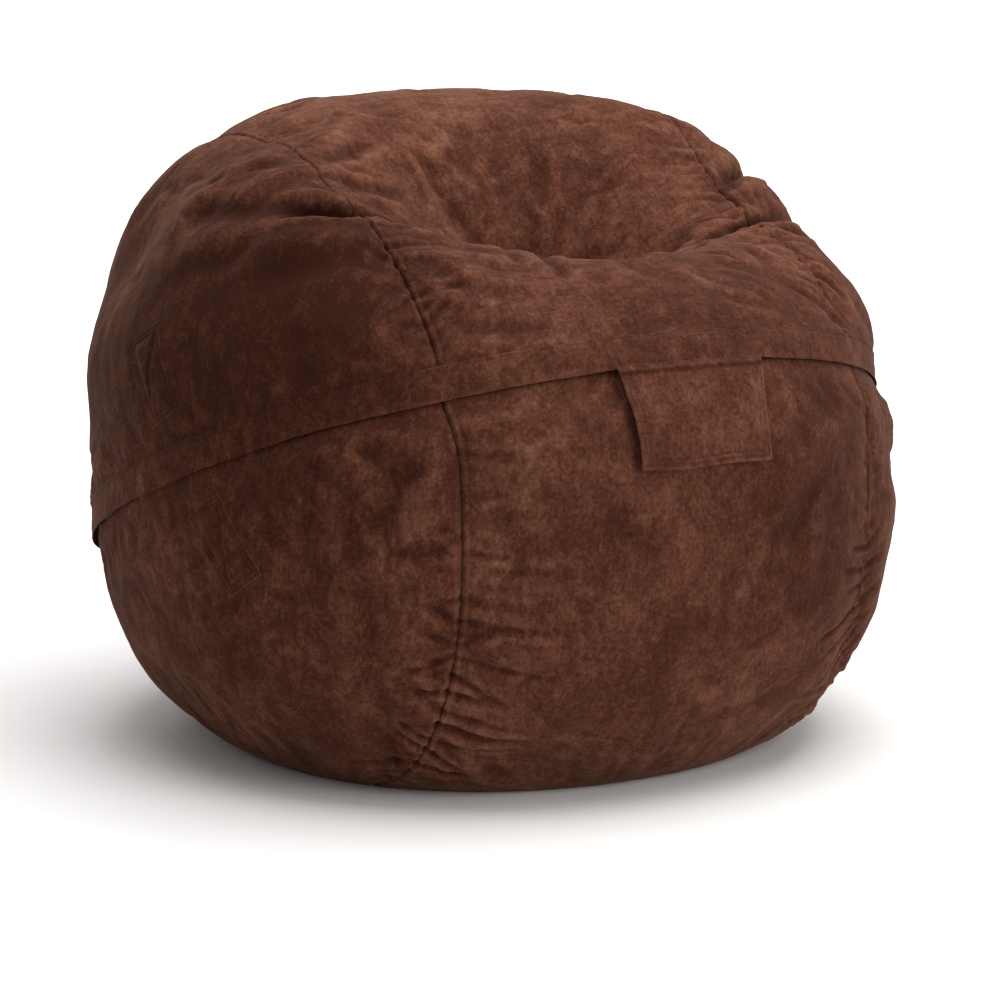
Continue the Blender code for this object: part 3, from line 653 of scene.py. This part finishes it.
def woven_material(name, dark, light, scale, roughness=0.85):
    """A plain weave of two threads."""
    material, tree, shader = nodes_of(name)
    where = object_place(tree)
    waves = []
    for axis in ("X", "Z"):
        settings = {"wave_type": "BANDS", "bands_direction": axis}
        wave = add_node(tree, "ShaderNodeTexWave", {"Vector": where, "Scale": scale}, **settings)
        waves.append(wave.outputs["Fac"])
    threads = maths(tree, "MULTIPLY", waves[0], waves[1])
    half = maths(tree, "MULTIPLY", threads, 0.5)
    value = maths(tree, "MULTIPLY_ADD", noise_of(tree, where, 40.0, 4.0), 0.6, half)
    tree.links.new(ramp(tree, value, [(0.2, dark), (0.75, light)]), shader.inputs["Base Color"])
    add_bump(tree, shader, threads, 0.4, 0.0004)
    shader.inputs["Roughness"].default_value = roughness
    return material


def metal_material(name):
    """Dark antique bronze, rubbed brighter in places."""
    material, tree, shader = nodes_of(name)
    where = object_place(tree)
    rub, scratch = noise_of(tree, where, 240.0, 4.0), noise_of(tree, where, 1500.0, 3.0, 0.6)
    bronze = ramp(tree, rub, [(0.35, (0.06, 0.045, 0.032)), (0.7, (0.32, 0.25, 0.18))])
    tree.links.new(bronze, shader.inputs["Base Color"])
    tree.links.new(maths(tree, "MULTIPLY_ADD", scratch, 0.35, 0.22), shader.inputs["Roughness"])
    shader.inputs["Metallic"].default_value = 1.0
    add_bump(tree, shader, scratch, 0.15, 0.0002)
    return material


def coil_material(name):
    """Nylon coil: close turns of a round filament."""
    material, tree, shader = nodes_of(name)
    where = object_place(tree)
    settings = {"wave_type": "RINGS", "rings_direction": "Z"}
    turns = add_node(tree, "ShaderNodeTexWave", {"Vector": where, "Scale": 180.0}, **settings).outputs["Fac"]
    half = maths(tree, "MULTIPLY", turns, 0.5)
    tone = maths(tree, "MULTIPLY_ADD", noise_of(tree, where, 90.0, 3.0), 0.5, half)
    nylon = ramp(tree, tone, [(0.2, (0.012, 0.007, 0.005)), (0.8, (0.06, 0.032, 0.022))])
    tree.links.new(nylon, shader.inputs["Base Color"])
    add_bump(tree, shader, turns, 0.8, 0.0006)
    shader.inputs["Roughness"].default_value = 0.42
    return material


def foam_material(name):
    """Shredded foam in pale mixed colours, with pores."""
    material, tree, shader = nodes_of(name)
    where = object_place(tree)
    shreds = add_node(tree, "ShaderNodeTexVoronoi", {"Vector": where, "Scale": 55.0})
    pores = noise_of(tree, where, 700.0, 4.0, 0.6)
    tone = maths(tree, "MULTIPLY_ADD", pores, 0.35, shreds.outputs["Distance"])
    stops = [(0.1, (0.42, 0.32, 0.16)), (0.45, (0.70, 0.60, 0.36)), (0.85, (0.82, 0.76, 0.60))]
    tree.links.new(ramp(tree, tone, stops), shader.inputs["Base Color"])
    add_bump(tree, shader, tone, 0.9, 0.004)
    shader.inputs["Roughness"].default_value = 0.9
    return material


SUEDE = suede_material("suede")
# The copy for the side panels and their patches, darkened as painted shade on the sides of the bag.
SUEDE_SHADED_SIDE = suede_material("suede_shaded_side", shift=-0.022)
SUEDE_FLAP = suede_material("suede_flap", shift=0.0)
SUEDE_TAB = suede_material("suede_tab", shift=-0.015)
THREAD = woven_material("thread", (0.030, 0.011, 0.007), (0.085, 0.034, 0.022), 900.0, 0.6)


# ---------------------------------------------------------------- pieces
def finish_piece(name, mesh, material, body="chair"):
    piece = bpy.data.objects.new(name, mesh)
    bpy.context.scene.collection.objects.link(piece)
    mesh.materials.append(material)
    if body:
        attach(piece, body)
    return piece


def set_wear_and_shade(mesh, values):
    """Rubbed nap on ridges (above 0) and painted shade in creases (below 0)."""
    layer = mesh.attributes.new("wear_and_shade", "FLOAT", "POINT")
    layer.data.foreach_set("value", np.asarray(values, np.float32).ravel())


def grid_quads(rows, columns, wrap=False):
    """Faces between the lines of a grid of points. A wrapped grid's last row joins its first."""
    i, j = np.meshgrid(np.arange(rows if wrap else rows - 1), np.arange(columns - 1), indexing="ij")
    after = (i + 1) % rows
    low, high = i * columns + j, after * columns + j
    return np.stack([low, high, high + 1, low + 1], axis=-1).reshape(-1, 4)


def facing(points, quads, centre):
    """The quads, turned so that they face away from centre."""
    a, b, c = (points[quads[:, k]] for k in range(3))
    turned = np.einsum("ij,ij->i", np.cross(b - a, c - a), a - centre).sum()
    return quads if turned > 0.0 else quads[:, ::-1]


def blurred(grid, times):
    for _ in range(times):
        padded = np.pad(grid, 1, mode="edge")
        grid = 0.25 * (padded[:-2, 1:-1] + padded[2:, 1:-1] + padded[1:-1, :-2] + padded[1:-1, 2:])
    return grid


def cover_panel(name, node, rest, tucks, on_band):
    """A panel from a grid of the smooth shape's points. tucks says how far each is turned in."""
    points, height, out = dressed(rest, on_band)
    # Painted shade in valleys and seam grooves, from the relief's depth; ridges are lighter as rubbed nap.
    wear_and_shade = np.clip((height - blurred(height, 14)) * 26.0, -0.17, 0.075) + nap_tone_and_shade(rest)
    points = points - out * tucks[..., None]
    points[..., 2] = np.maximum(points[..., 2], 0.0)
    rows, columns = rest.shape[:2]
    flat = points.reshape(-1, 3)
    mesh = make_mesh(name, flat, facing(flat, grid_quads(rows, columns), WAIST_CENTRE))
    set_wear_and_shade(mesh, wear_and_shade)
    piece = finish_piece(name, mesh, SUEDE if on_band else SUEDE_SHADED_SIDE)
    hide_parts(node)


# steps away from a seam, close together where the cloth dips into it, and how deep its edge turns in
FINE = np.array([0.0, 0.0009, 0.0018, 0.0028, 0.0040, 0.0054, 0.0068, 0.0082, 0.0098, 0.0118, 0.0145, 0.0180])
TUCK = np.array([0.0085, 0.0050, 0.0022])


def edge_rows(values, start, end):
    """Adds the rows that turn in at both ends of a run."""
    rows = np.concatenate([[start] * 2, values, [end] * 2])
    tucks = np.concatenate([[0.0045, 0.0018], np.zeros(len(values)), [0.0018, 0.0045]])
    return rows, tucks


def band_panel(node, half):
    edge = SEAM_X - SEAM_GAP
    inner = np.linspace(-(edge - 0.0225), edge - 0.0225, 103)
    columns = np.concatenate([[-edge] * 3, -edge + FINE, inner, (edge - FINE)[::-1], [edge] * 3])
    column_tucks = np.concatenate([TUCK, np.zeros(len(columns) - 6), TUCK[::-1]])
    start, end = half_turn(half)
    angles, row_tucks = edge_rows(np.linspace(start, end, 400), start, end)
    rest = band_point(columns[None, :], angles[:, None], half)
    cover_panel(f"cover_{node}", node, rest, np.maximum(column_tucks[None, :], row_tucks[:, None]), True)


def side_panel(node, side, half):
    lean_fine = 0.5 * math.pi - FINE * 2.6
    lean_inner = np.linspace(0.02, lean_fine[-1] - 0.014, 92)
    leans = np.concatenate([[0.0], lean_inner, lean_fine[::-1], [0.5 * math.pi] * 3])
    column_tucks = np.concatenate([np.zeros(len(leans) - 3), TUCK[::-1]])
    start, end = half_turn(half)
    angles, row_tucks = edge_rows(np.linspace(start, end, 360), start, end)
    rest = side_point(side, leans[None, :], angles[:, None], half)
    cover_panel(f"cover_{node}", node, rest, np.maximum(column_tucks[None, :], row_tucks[:, None]), False)


STITCHES = []


def stitch_line(points, out, pitch=0.0042, length=0.0030, width=0.0008, lift=0.0001):
    """Collects one row of thread beads along a line of points."""
    runs = np.linalg.norm(np.diff(points, axis=0), axis=1)
    at = np.concatenate([[0.0], np.cumsum(runs)])
    middles = np.arange(0.5 * pitch, at[-1], pitch)

    def take(t, values):
        return np.stack([np.interp(t, at, values[:, k]) for k in range(3)], axis=-1)

    a, b = take(middles - 0.5 * length, points), take(middles + 0.5 * length, points)
    up = take(middles, out)
    along = (b - a) / np.linalg.norm(b - a, axis=1, keepdims=True)
    across = np.cross(up, along)
    ring = []
    for turn in range(6):
        angle = math.pi * turn / 3.0
        rise, reach = 0.5 * width * math.sin(angle), 0.5 * width * math.cos(angle)
        ring.append(0.5 * (a + b) + (lift + rise) * up + reach * across)
    sunk = -0.3 * width * up
    STITCHES.append(np.stack([a + sunk, *ring, b + sunk], axis=1))


def stitches_piece(name, body="chair"):
    """Makes one mesh of the collected beads."""
    beads = np.concatenate(STITCHES)
    STITCHES.clear()
    fan = [(0, 1 + (k + 1) % 6, 1 + k) for k in range(6)]
    fan += [(7, 1 + k, 1 + (k + 1) % 6) for k in range(6)]
    faces = (np.arange(len(beads))[:, None, None] * 8 + np.array(fan)[None]).reshape(-1, 3)
    mesh = make_mesh(name, beads.reshape(-1, 3), faces)
    return finish_piece(name, mesh, THREAD, body)


def build_cover():
    """The six panels, with the topstitching beside each seam."""
    band_panel("seat_band_upper", 1)
    band_panel("base_band_lower", -1)
    for side, word in ((-1, "right"), (1, "left")):
        for half, level in ((1, "upper"), (-1, "lower")):
            side_panel(f"{word}_side_{level}", side, half)
    for side in (-1, 1):
        for half in (1, -1):
            start, end = half_turn(half)
            angles = np.linspace(start + 0.03, end - 0.03, 700)
            rest = band_point(side * (SEAM_X - STITCH_INSET), angles)
            points, _, out = dressed(rest, True)
            stitch_line(points[points[:, 2] > 0.004], out[points[:, 2] > 0.004])
    stitches_piece("seam_stitches")


def build_flap():
    """The strip over the zip: a folded band, sewn down along its upper edge, open below."""
    rows = 720
    top, foot, seam = FLAP_TOP, FLAP_FOOT, FLAP_TOP - FLAP_SEAM
    heights, lifts = [foot, 0.0, 0.010, 0.020, top], [0.0058, 0.0048, 0.0034, 0.0014, 0.0004]
    drops = [0.0, 0.0006, 0.0018, 0.0034, 0.0044, 0.0052, 0.0064, 0.0090]
    drops += [0.0130, 0.0170, 0.0210, 0.0250, 0.0285]
    hem = (0.0062, 0.0048, 0.0036, 0.0024, 0.0014, 0.0006, 0.0)
    outer = top - np.array(drops + [top - foot - d for d in hem])
    inner = outer[::-1][1:-1:2]
    profile = []
    for h in outer:
        lift = np.interp(h, heights, lifts) + FLAP_CLOTH
        lift -= (FLAP_CLOTH + 0.0010) * math.exp(-(((top - h) / 0.0011) ** 2))
        lift -= 0.0009 * math.exp(-(((seam - h) / 0.0013) ** 2))
        lift -= 0.0004 * math.exp(-(((foot + 0.0062 - h) / 0.0013) ** 2))
        lift -= 0.0009 * math.exp(-(((h - foot) / 0.0008) ** 2))
        profile.append((h, lift, 1.0))
    for h in inner:
        profile.append((h, np.interp(h, heights, lifts), 0.0))
    profile = np.array(profile)
    degrees = np.linspace(0.0, 360.0, rows, endpoint=False)
    turn = np.radians(degrees)
    ring = np.stack([np.cos(turn), np.sin(turn), 0.0 * turn], axis=-1)
    shift = 0.0011 * noise(ring, 5.0, 31) + 0.0005 * noise(ring, 19.0, 32)
    swell = 1.0 + 0.10 * noise(ring, 7.0, 33)
    pucker = 0.0005 * noise(ring, 60.0, 34) + 0.0004 * noise(ring, 120.0, 35)
    h = profile[None, :, 0] + shift[:, None]
    rest = belt_point(np.broadcast_to(degrees[:, None], h.shape), h)
    out = outward(rest)
    near_top = np.exp(-(((profile[:, 0] - (top - 0.004)) / 0.007) ** 2))
    # raised over the tab, and pressed flat along the front and sides, clear of the closed slider
    over_tab = ease((0.128 - np.abs(WAIST_RADIUS * np.cos(turn) - TAB_MIDDLE)) / 0.034)
    over_tab = over_tab * (np.sin(turn) < 0.0)
    pressed = ease((0.15 - np.sin(turn)) / 0.3) * ease((0.985 - np.cos(turn)) / 0.05)
    raise_foot = ease((0.016 - profile[:, 0]) / 0.020)
    puckered = (0.4 + near_top) * profile[:, 2]
    lift = profile[None, :, 1] * swell[:, None] + pucker[:, None] * puckered[None, :]
    lift = lift + (0.0036 * over_tab - 0.0034 * pressed)[:, None] * raise_foot[None, :]
    points = rest + out * lift[..., None]
    columns = points.shape[1]
    close = np.arange(rows) * columns
    after = np.roll(close, -1)
    last = np.stack([close + columns - 1, after + columns - 1, after, close], axis=-1)
    flat = points.reshape(-1, 3)
    quads = np.concatenate([grid_quads(rows, columns, wrap=True), last])
    mesh = make_mesh("flap_strip", flat, first_facing(flat, quads, WAIST_CENTRE))
    # Painted shade: the flap is darker where it runs over the side panels, as the side suede is.
    wear_and_shade = nap_tone_and_shade(rest) - 0.024 * ease((np.abs(rest[..., 0]) - SEAM_X) / 0.02)
    shown = slice(len(outer))
    wear_and_shade[:, shown] += 0.03 * np.exp(-((outer - foot) / 0.0016) ** 2) + 0.02 * noise(rest[:, shown], 60.0, 36)
    set_wear_and_shade(mesh, wear_and_shade)
    piece = finish_piece("flap_strip", mesh, SUEDE_FLAP)
    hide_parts("zip_flap")
    column = int(np.argmin(np.abs(outer - seam)))
    line = np.concatenate([points[:, column], points[:1, column]])
    normals = np.concatenate([out[:, column], out[:1, column]])
    stitch_line(line, normals, pitch=0.0044)
    stitches_piece("flap_stitches")


def first_facing(points, quads, centre):
    """The quads, turned so that the first of them faces away from centre."""
    a, b, c = (points[quads[0][k]] for k in range(3))
    return quads if np.dot(np.cross(b - a, c - a), a - centre) > 0.0 else quads[:, ::-1]


def tab_frame():
    """The tab's pivot at its top edge, the way it hangs and the way it faces."""
    top = belt_point(np.array([-90.0]), np.array([TAB_TOP]))
    out = outward(top)[0]
    pivot = top[0] + out * TAB_LIFT
    foot = belt_point(np.array([-90.0]), np.array([TAB_TOP - TAB_DROP]))
    foot = foot[0] + outward(foot)[0] * TAB_LIFT
    down = (foot - pivot) / np.linalg.norm(foot - pivot)
    out = out - np.dot(out, down) * down
    return pivot, down, out / np.linalg.norm(out)


def build_tab():
    """A two-ply cloth tab with rounded edges and two rows of border stitching."""
    pivot, down, out = tab_frame()
    edge_steps = [0.0, 0.0008, 0.0020, 0.0036, 0.0050, 0.0064, 0.0078, 0.0094, 0.0108, 0.0122, 0.0140]
    edge_steps = np.array(edge_steps)
    middle_width = 0.5 * (TAB_WIDTHS[0] + TAB_WIDTHS[1])
    inner = np.linspace(0.018, middle_width - 0.018, 50) / middle_width
    across = np.concatenate([edge_steps / middle_width, inner, 1.0 - edge_steps[::-1] / middle_width])
    tucked = np.array([-0.0078, -0.0064, -0.0050, -0.0036, -0.0022, -0.0010]) / TAB_LENGTH
    inner = np.linspace(0.0, TAB_LENGTH - 0.018, 34) / TAB_LENGTH
    along = np.concatenate([tucked, inner, 1.0 - edge_steps[::-1] / TAB_LENGTH])
    v, u = np.meshgrid(along, across, indexing="ij")
    width = TAB_WIDTHS[0] + (TAB_WIDTHS[1] - TAB_WIDTHS[0]) * v
    from_edge = np.minimum(np.minimum(u, 1.0 - u) * width, (1.0 - v) * TAB_LENGTH)
    lean = 2.0 * u - 1.0
    x = TAB_MIDDLE + (u - 0.5) * width - 0.003 * np.sin(math.pi * v) * lean  # its sides draw in
    length = v * TAB_LENGTH + 0.0016 * np.sin(math.pi * u) * v - 0.0010 * np.cos(3.0 * math.pi * u) * v
    plane = np.stack([x, length, 0.0 * x], axis=-1)
    under = ease(-v * TAB_LENGTH / 0.006)
    bow = -TAB_BOW * lean**2 + TAB_BULGE * np.sin(math.pi * np.maximum(v, 0.0)) - 0.0012 * under
    curl = 0.0030 * np.exp(-((u / 0.12) ** 2)) * ease(v * 2.0) * (0.4 + 0.6 * v)
    ripple = 0.0012 * noise(plane, 32.0, 41) + 0.0005 * noise(plane, 90.0, 42)
    bow = bow + curl + ripple * ease(v * 4.0)
    sewn = sewn_rows(from_edge, TAB_STITCHES, 0.0014)
    puff = 0.0006 * ease((from_edge - TAB_STITCHES[1]) / 0.006)
    thick = 0.5 * TAB_THICKNESS * rounded_edge(from_edge, 0.0018) + puff - 0.00075 * sewn
    thick = thick * (1.0 - 0.55 * under)
    middle = pivot + x[..., None] * SIDEWARD + length[..., None] * down + (0.0020 + bow)[..., None] * out
    front, back = middle + thick[..., None] * out, middle - thick[..., None] * out
    mesh = two_ply("tab_cloth", front, back, out)
    # Painted shade along the stitch rows' grooves; the lighter rim is rubbed nap.
    wear_and_shade = 0.035 * np.exp(-((from_edge / 0.0022) ** 2)) - 0.06 * sewn + 0.03 * noise(plane, 40.0, 43)
    wear_and_shade -= 0.14 * np.exp(-(((length - 0.0014) / 0.0022) ** 2))  # in the flap's shade
    set_wear_and_shade(mesh, np.concatenate([wear_and_shade.ravel(), wear_and_shade.ravel()]))
    piece = finish_piece("tab_cloth", mesh, SUEDE_TAB, body=None)
    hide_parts("front_tab")
    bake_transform(piece)
    for inset in TAB_STITCHES:
        s, t = inset / middle_width, 1.0 - inset / TAB_LENGTH
        line_u, line_v = route([(s, 0.03), (s, t), (1.0 - s, t), (1.0 - s, 0.03)], 60)
        line = sample_grid(front, across, along, line_u, line_v)
        stitch_line(line, np.broadcast_to(out, line.shape), lift=0.0002)
    tab_stitches = stitches_piece("tab_stitches", body=None)
    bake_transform(tab_stitches)


def two_ply(name, front, back, out):
    """A closed sheet from its front and back grids of points, facing the way out points."""
    rows, columns = front.shape[:2]
    count = rows * columns
    points = np.concatenate([front.reshape(-1, 3), back.reshape(-1, 3)])
    quads = grid_quads(rows, columns)
    a, b, c = (points[quads[0, k]] for k in range(3))
    if np.dot(np.cross(b - a, c - a), out) < 0.0:
        quads = quads[:, ::-1]
    right_side, foot = range(2 * columns - 1, count, columns), range(count - 2, count - columns - 1, -1)
    loop = np.array([*range(columns), *right_side, *foot, *range(count - 2 * columns, 0, -columns)])
    after = np.roll(loop, -1)
    rim = np.stack([loop, after, after + count, loop + count], axis=-1)
    rim = facing(points, rim, points[:count].mean(axis=0))
    return make_mesh(name, points, np.concatenate([quads, quads[:, ::-1] + count, rim]))


def route(corners, steps):
    """Points along straight runs between corners, in both directions of a grid."""
    runs = list(zip(corners[:-1], corners[1:]))
    return [np.concatenate([np.linspace(p[k], q[k], steps)[:-1] for p, q in runs]) for k in (0, 1)]


def sewn_rows(from_edge, insets, width, shares=(1.0, 1.0)):
    """1 along each row of stitches, times its share, and 0 away from them."""
    return sum(share * np.exp(-(((from_edge - inset) / width) ** 2)) for inset, share in zip(insets, shares))


def rounded_edge(from_edge, radius):
    """Rises from 0 at the edge to 1 inside, as a quarter circle."""
    return np.sqrt(np.clip(1.0 - (1.0 - np.clip(from_edge / radius, 0.0, 1.0)) ** 2, 0.0, 1.0))


def sample_grid(grid, columns, rows, u, v):
    """Points of a grid at (u, v), where columns and rows give its lines' own u and v."""
    j, i = np.interp(u, columns, np.arange(len(columns))), np.interp(v, rows, np.arange(len(rows)))
    j0, i0 = np.clip(j.astype(int), 0, len(columns) - 2), np.clip(i.astype(int), 0, len(rows) - 2)
    a, b = (j - j0)[:, None], (i - i0)[:, None]
    top = grid[i0, j0] * (1.0 - a) + grid[i0, j0 + 1] * a
    foot = grid[i0 + 1, j0] * (1.0 - a) + grid[i0 + 1, j0 + 1] * a
    return top * (1.0 - b) + foot * b


def patch_steps(length, first, count):
    """Places along a patch, close together at both its edges."""
    edge = np.array([0.0, 0.0006, 0.0014, 0.0024, 0.0034, 0.0044, 0.0056, 0.0070, 0.0084, 0.0098])
    return np.concatenate([edge, np.linspace(first, length - first, count), length - edge[::-1]])


def build_patch(side, word, level, centre, lean):
    """A sewn patch with a double border row and a fold from corner to corner."""
    us, vs = patch_steps(PATCH_WIDTH, 0.0115, 17), patch_steps(PATCH_LENGTH, 0.0120, 34)
    v, u = np.meshgrid(vs, us, indexing="ij")
    wide, tall = u - 0.5 * PATCH_WIDTH, v - 0.5 * PATCH_LENGTH
    run = centre[1] + wide * math.cos(lean) + tall * math.sin(lean)
    height = centre[0] + tall * math.cos(lean) - wide * math.sin(lean)
    origins = WAIST_CENTRE + run[..., None] * REARWARD + height[..., None] * NORMAL
    rest = surface_hit(origins, np.broadcast_to(side * SIDEWARD, origins.shape))
    points, _, out = dressed(rest)
    from_edge = np.minimum(np.minimum(u, PATCH_WIDTH - u), np.minimum(v, PATCH_LENGTH - v))
    slant_gap = np.abs(wide / PATCH_WIDTH + tall / PATCH_LENGTH) * PATCH_WIDTH * 0.85
    sewn = sewn_rows(from_edge, PATCH_STITCHES, 0.0011, (1.0, 0.8))
    fold = np.exp(-((slant_gap / 0.0030) ** 2)) * ease((from_edge - 0.006) / 0.006)
    plane = np.stack([wide, tall, 0.0 * wide], axis=-1)
    puff = 0.0022 * ease((from_edge - PATCH_STITCHES[1]) / 0.010) * (1.0 + 0.5 * noise(plane, 45.0, 51))
    ripple = 0.0006 * noise(plane, 110.0, 52) * ease(from_edge / 0.01)
    lift = 0.0023 * rounded_edge(from_edge, 0.0013) - 0.0007 + puff - 0.0009 * sewn - 0.0030 * fold + ripple
    front = points + out * lift[..., None]
    name = f"{word}_patch_{level}"
    mesh = two_ply(f"cloth_{name}", front, points - out * 0.0012, side * SIDEWARD)
    # Painted shade along the stitch rows and the corner-to-corner fold; the lighter rim is rubbed nap.
    wear_and_shade = 0.05 * np.exp(-((from_edge / 0.0014) ** 2)) - 0.10 * sewn - 0.05 * fold
    wear_and_shade += 0.03 * noise(plane, 60.0, 53) + nap_tone_and_shade(rest)
    set_wear_and_shade(mesh, np.concatenate([wear_and_shade.ravel(), wear_and_shade.ravel()]))
    piece = finish_piece(f"cloth_{name}", mesh, SUEDE_SHADED_SIDE)
    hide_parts(name)
    for inset in PATCH_STITCHES:
        a0, a1, b0, b1 = inset, PATCH_WIDTH - inset, inset, PATCH_LENGTH - inset
        line_u, line_v = route([(a0, b0), (a0, b1), (a1, b1), (a1, b0), (a0, b0)], 40)
        line, normals = (sample_grid(grid, us, vs, line_u, line_v) for grid in (front, out))
        stitch_line(line, normals, pitch=0.0038, length=0.0027, width=0.0007)


def build_patches():
    """Two patches on each side."""
    for side, word in ((-1, "right"), (1, "left")):
        for centre, lean, level in zip(PATCH_CENTRES, PATCH_LEANS, ("upper", "lower")):
            build_patch(side, word, level, centre, lean)
    stitches_piece("patch_stitches")


def inner_grid(half, gap, columns, rows):
    """Half of the bag's smooth shape, or all of it, as a grid from pole to pole along X."""
    start, end = half_turn(half) if half else (-WAIST_TILT, 2.0 * math.pi - WAIST_TILT)
    turns, leans = np.linspace(start, end, rows), np.linspace(0.0, math.pi, columns)
    angle, lean = np.meshgrid(turns, leans, indexing="ij")
    rays = np.stack([np.cos(lean), np.sin(lean) * np.cos(angle), np.sin(lean) * np.sin(angle)], axis=-1)
    return surface_hit(np.broadcast_to(WAIST_CENTRE + half * gap * NORMAL, rays.shape), rays)


def build_inside(liner, foam):
    """The liner's two halves and the filling, set in from the cover and following its folds."""
    layers = (  # name, node, half, depth under the cover's smooth shape
        ("liner_cloth_upper", "liner_upper", 1, 0.0185, liner, "liner"),
        ("liner_cloth_lower", "liner_lower", -1, 0.0185, liner, "liner"),
        ("shredded_filling", "foam_filling", 0, 0.0260, foam, "foam"),
    )
    for name, node, half, depth, material, slot in layers:
        rest = inner_grid(half, 0.0010, 110, 110 if half else 220)
        flat = rest.reshape(-1, 3)
        out = outward(flat)
        height = np.minimum(relief_of(flat), 0.0) - depth
        if not half:
            height += 0.0025 * noise(flat, 60.0, 61) + 0.0012 * noise(flat, 150.0, 62)
        points = flat + height[:, None] * out
        points[:, 2] = np.maximum(points[:, 2], 0.001 + 0.5 * depth)
        quads = facing(points, grid_quads(*rest.shape[:2]), WAIST_CENTRE)
        piece = finish_piece(name, make_mesh(name, points, quads), material)
        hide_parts(node)


def dress_frame():
    """Materials for the CAD nodes that stay, and the layers inside the cover."""
    tape = woven_material("zip_tape", (0.022, 0.009, 0.006), (0.070, 0.028, 0.018), 420.0)
    liner = woven_material("liner", (0.46, 0.43, 0.37), (0.70, 0.67, 0.60), 260.0)
    metal, coil, foam = metal_material("zip_metal"), coil_material("zip_coil"), foam_material("foam")
    chosen = {
        "zip_tape_upper": tape, "zip_tape_lower": tape, "zip_coil_upper": coil, "zip_coil_lower": coil,
        "zip_stop_closed": metal, "zip_stop_open": metal, "zip_slider": metal, "zip_puller": metal,
        "zip_hinge_strip": SUEDE,
    }
    build_inside(liner, foam)
    for node, material in chosen.items():
        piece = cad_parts[node]
        for index in range(max(1, len(piece.material_slots))):
            if not piece.material_slots:
                piece.data.materials.append(material)
            piece.material_slots[index].material = material


# ---------------------------------------------------------------- studio
def add_area(name, place, target, size, power, colour=(1.0, 1.0, 1.0)):
    light = bpy.data.lights.new(name, "AREA")
    light.shape, light.size, light.size_y = "RECTANGLE", size[0], size[1]
    light.energy, light.color = power, colour
    lamp = bpy.data.objects.new(name, light)
    lamp.location = place
    lamp.rotation_euler = (Vector(target) - Vector(place)).to_track_quat("-Z", "Y").to_euler()
    bpy.context.scene.collection.objects.link(lamp)


def build_studio():
    """A pale floor that curves up into a wall, three soft lights and the camera."""
    scene = bpy.context.scene
    scene.view_settings.view_transform = "Standard"
    world = bpy.data.worlds.new("studio")
    scene.world = world
    world.use_nodes = True
    glow = world.node_tree.nodes["Background"].inputs
    glow["Color"].default_value = (1.0, 0.985, 0.975, 1.0)
    glow["Strength"].default_value = 0.42
    turn = np.radians(-31.0)
    away = np.array([-math.sin(turn), math.cos(turn), 0.0])
    right = np.array([math.cos(turn), math.sin(turn), 0.0])
    back, bend, wall_top, half_width, drop = 5.9, 1.8, 7.0, 9.0, 0.0006
    profile = [(-half_width, 0.0), (back, 0.0)]
    arc = np.linspace(0.08, 0.5 * math.pi, 20)
    profile += [(back + bend * math.sin(t), bend * (1.0 - math.cos(t))) for t in arc]
    profile += [(back + bend, wall_top)]
    edges = [(run, up, wide) for run, up in profile for wide in (-half_width, half_width)]
    points = [away * run + right * wide + np.array([0.0, 0.0, up - drop]) for run, up, wide in edges]
    quads = [(2 * k, 2 * k + 1, 2 * k + 3, 2 * k + 2) for k in range(len(profile) - 1)]
    mesh = make_mesh("backdrop", np.array(points), np.array(quads))
    material, tree, shader = nodes_of("paper")
    where = object_place(tree)
    tone = noise_of(tree, where, 1.2, 3.0)
    tone = ramp(tree, tone, [(0.3, (0.80, 0.79, 0.785)), (0.7, (0.84, 0.83, 0.825))])
    tree.links.new(tone, shader.inputs["Base Color"])
    shader.inputs["Roughness"].default_value = 0.7
    shader.inputs["Specular IOR Level"].default_value = 0.2
    mesh.materials.append(material)
    floor = bpy.data.objects.new("backdrop", mesh)
    scene.collection.objects.link(floor)
    add_area("key", (0.9, -3.6, 1.5), (0.0, 0.0, 0.35), (2.6, 2.6), 76.0, (1.0, 0.99, 0.975))
    add_area("top", (0.35, -0.35, 3.4), (0.0, 0.0, 0.5), (3.4, 3.4), 170.0)
    place, target = away * 4.2 + np.array([0.0, 0.0, 4.0]), away * 7.2 + np.array([0.0, 0.0, 0.6])
    add_area("wall", tuple(place), tuple(target), (6.0, 3.0), 420.0)
    camera = bpy.data.cameras.new("camera")
    camera.lens, camera.sensor_width = 113.4, 36.0
    view = bpy.data.objects.new("camera", camera)
    view.location = (-1.950, -3.258, 0.947)
    aim = Vector((0.0, -0.0125, 0.287))
    view.rotation_euler = (aim - view.location).to_track_quat("-Z", "Y").to_euler()
    scene.collection.objects.link(view)
    scene.camera = view


build_cover()
build_flap()
build_tab()
build_patches()
dress_frame()
build_studio()
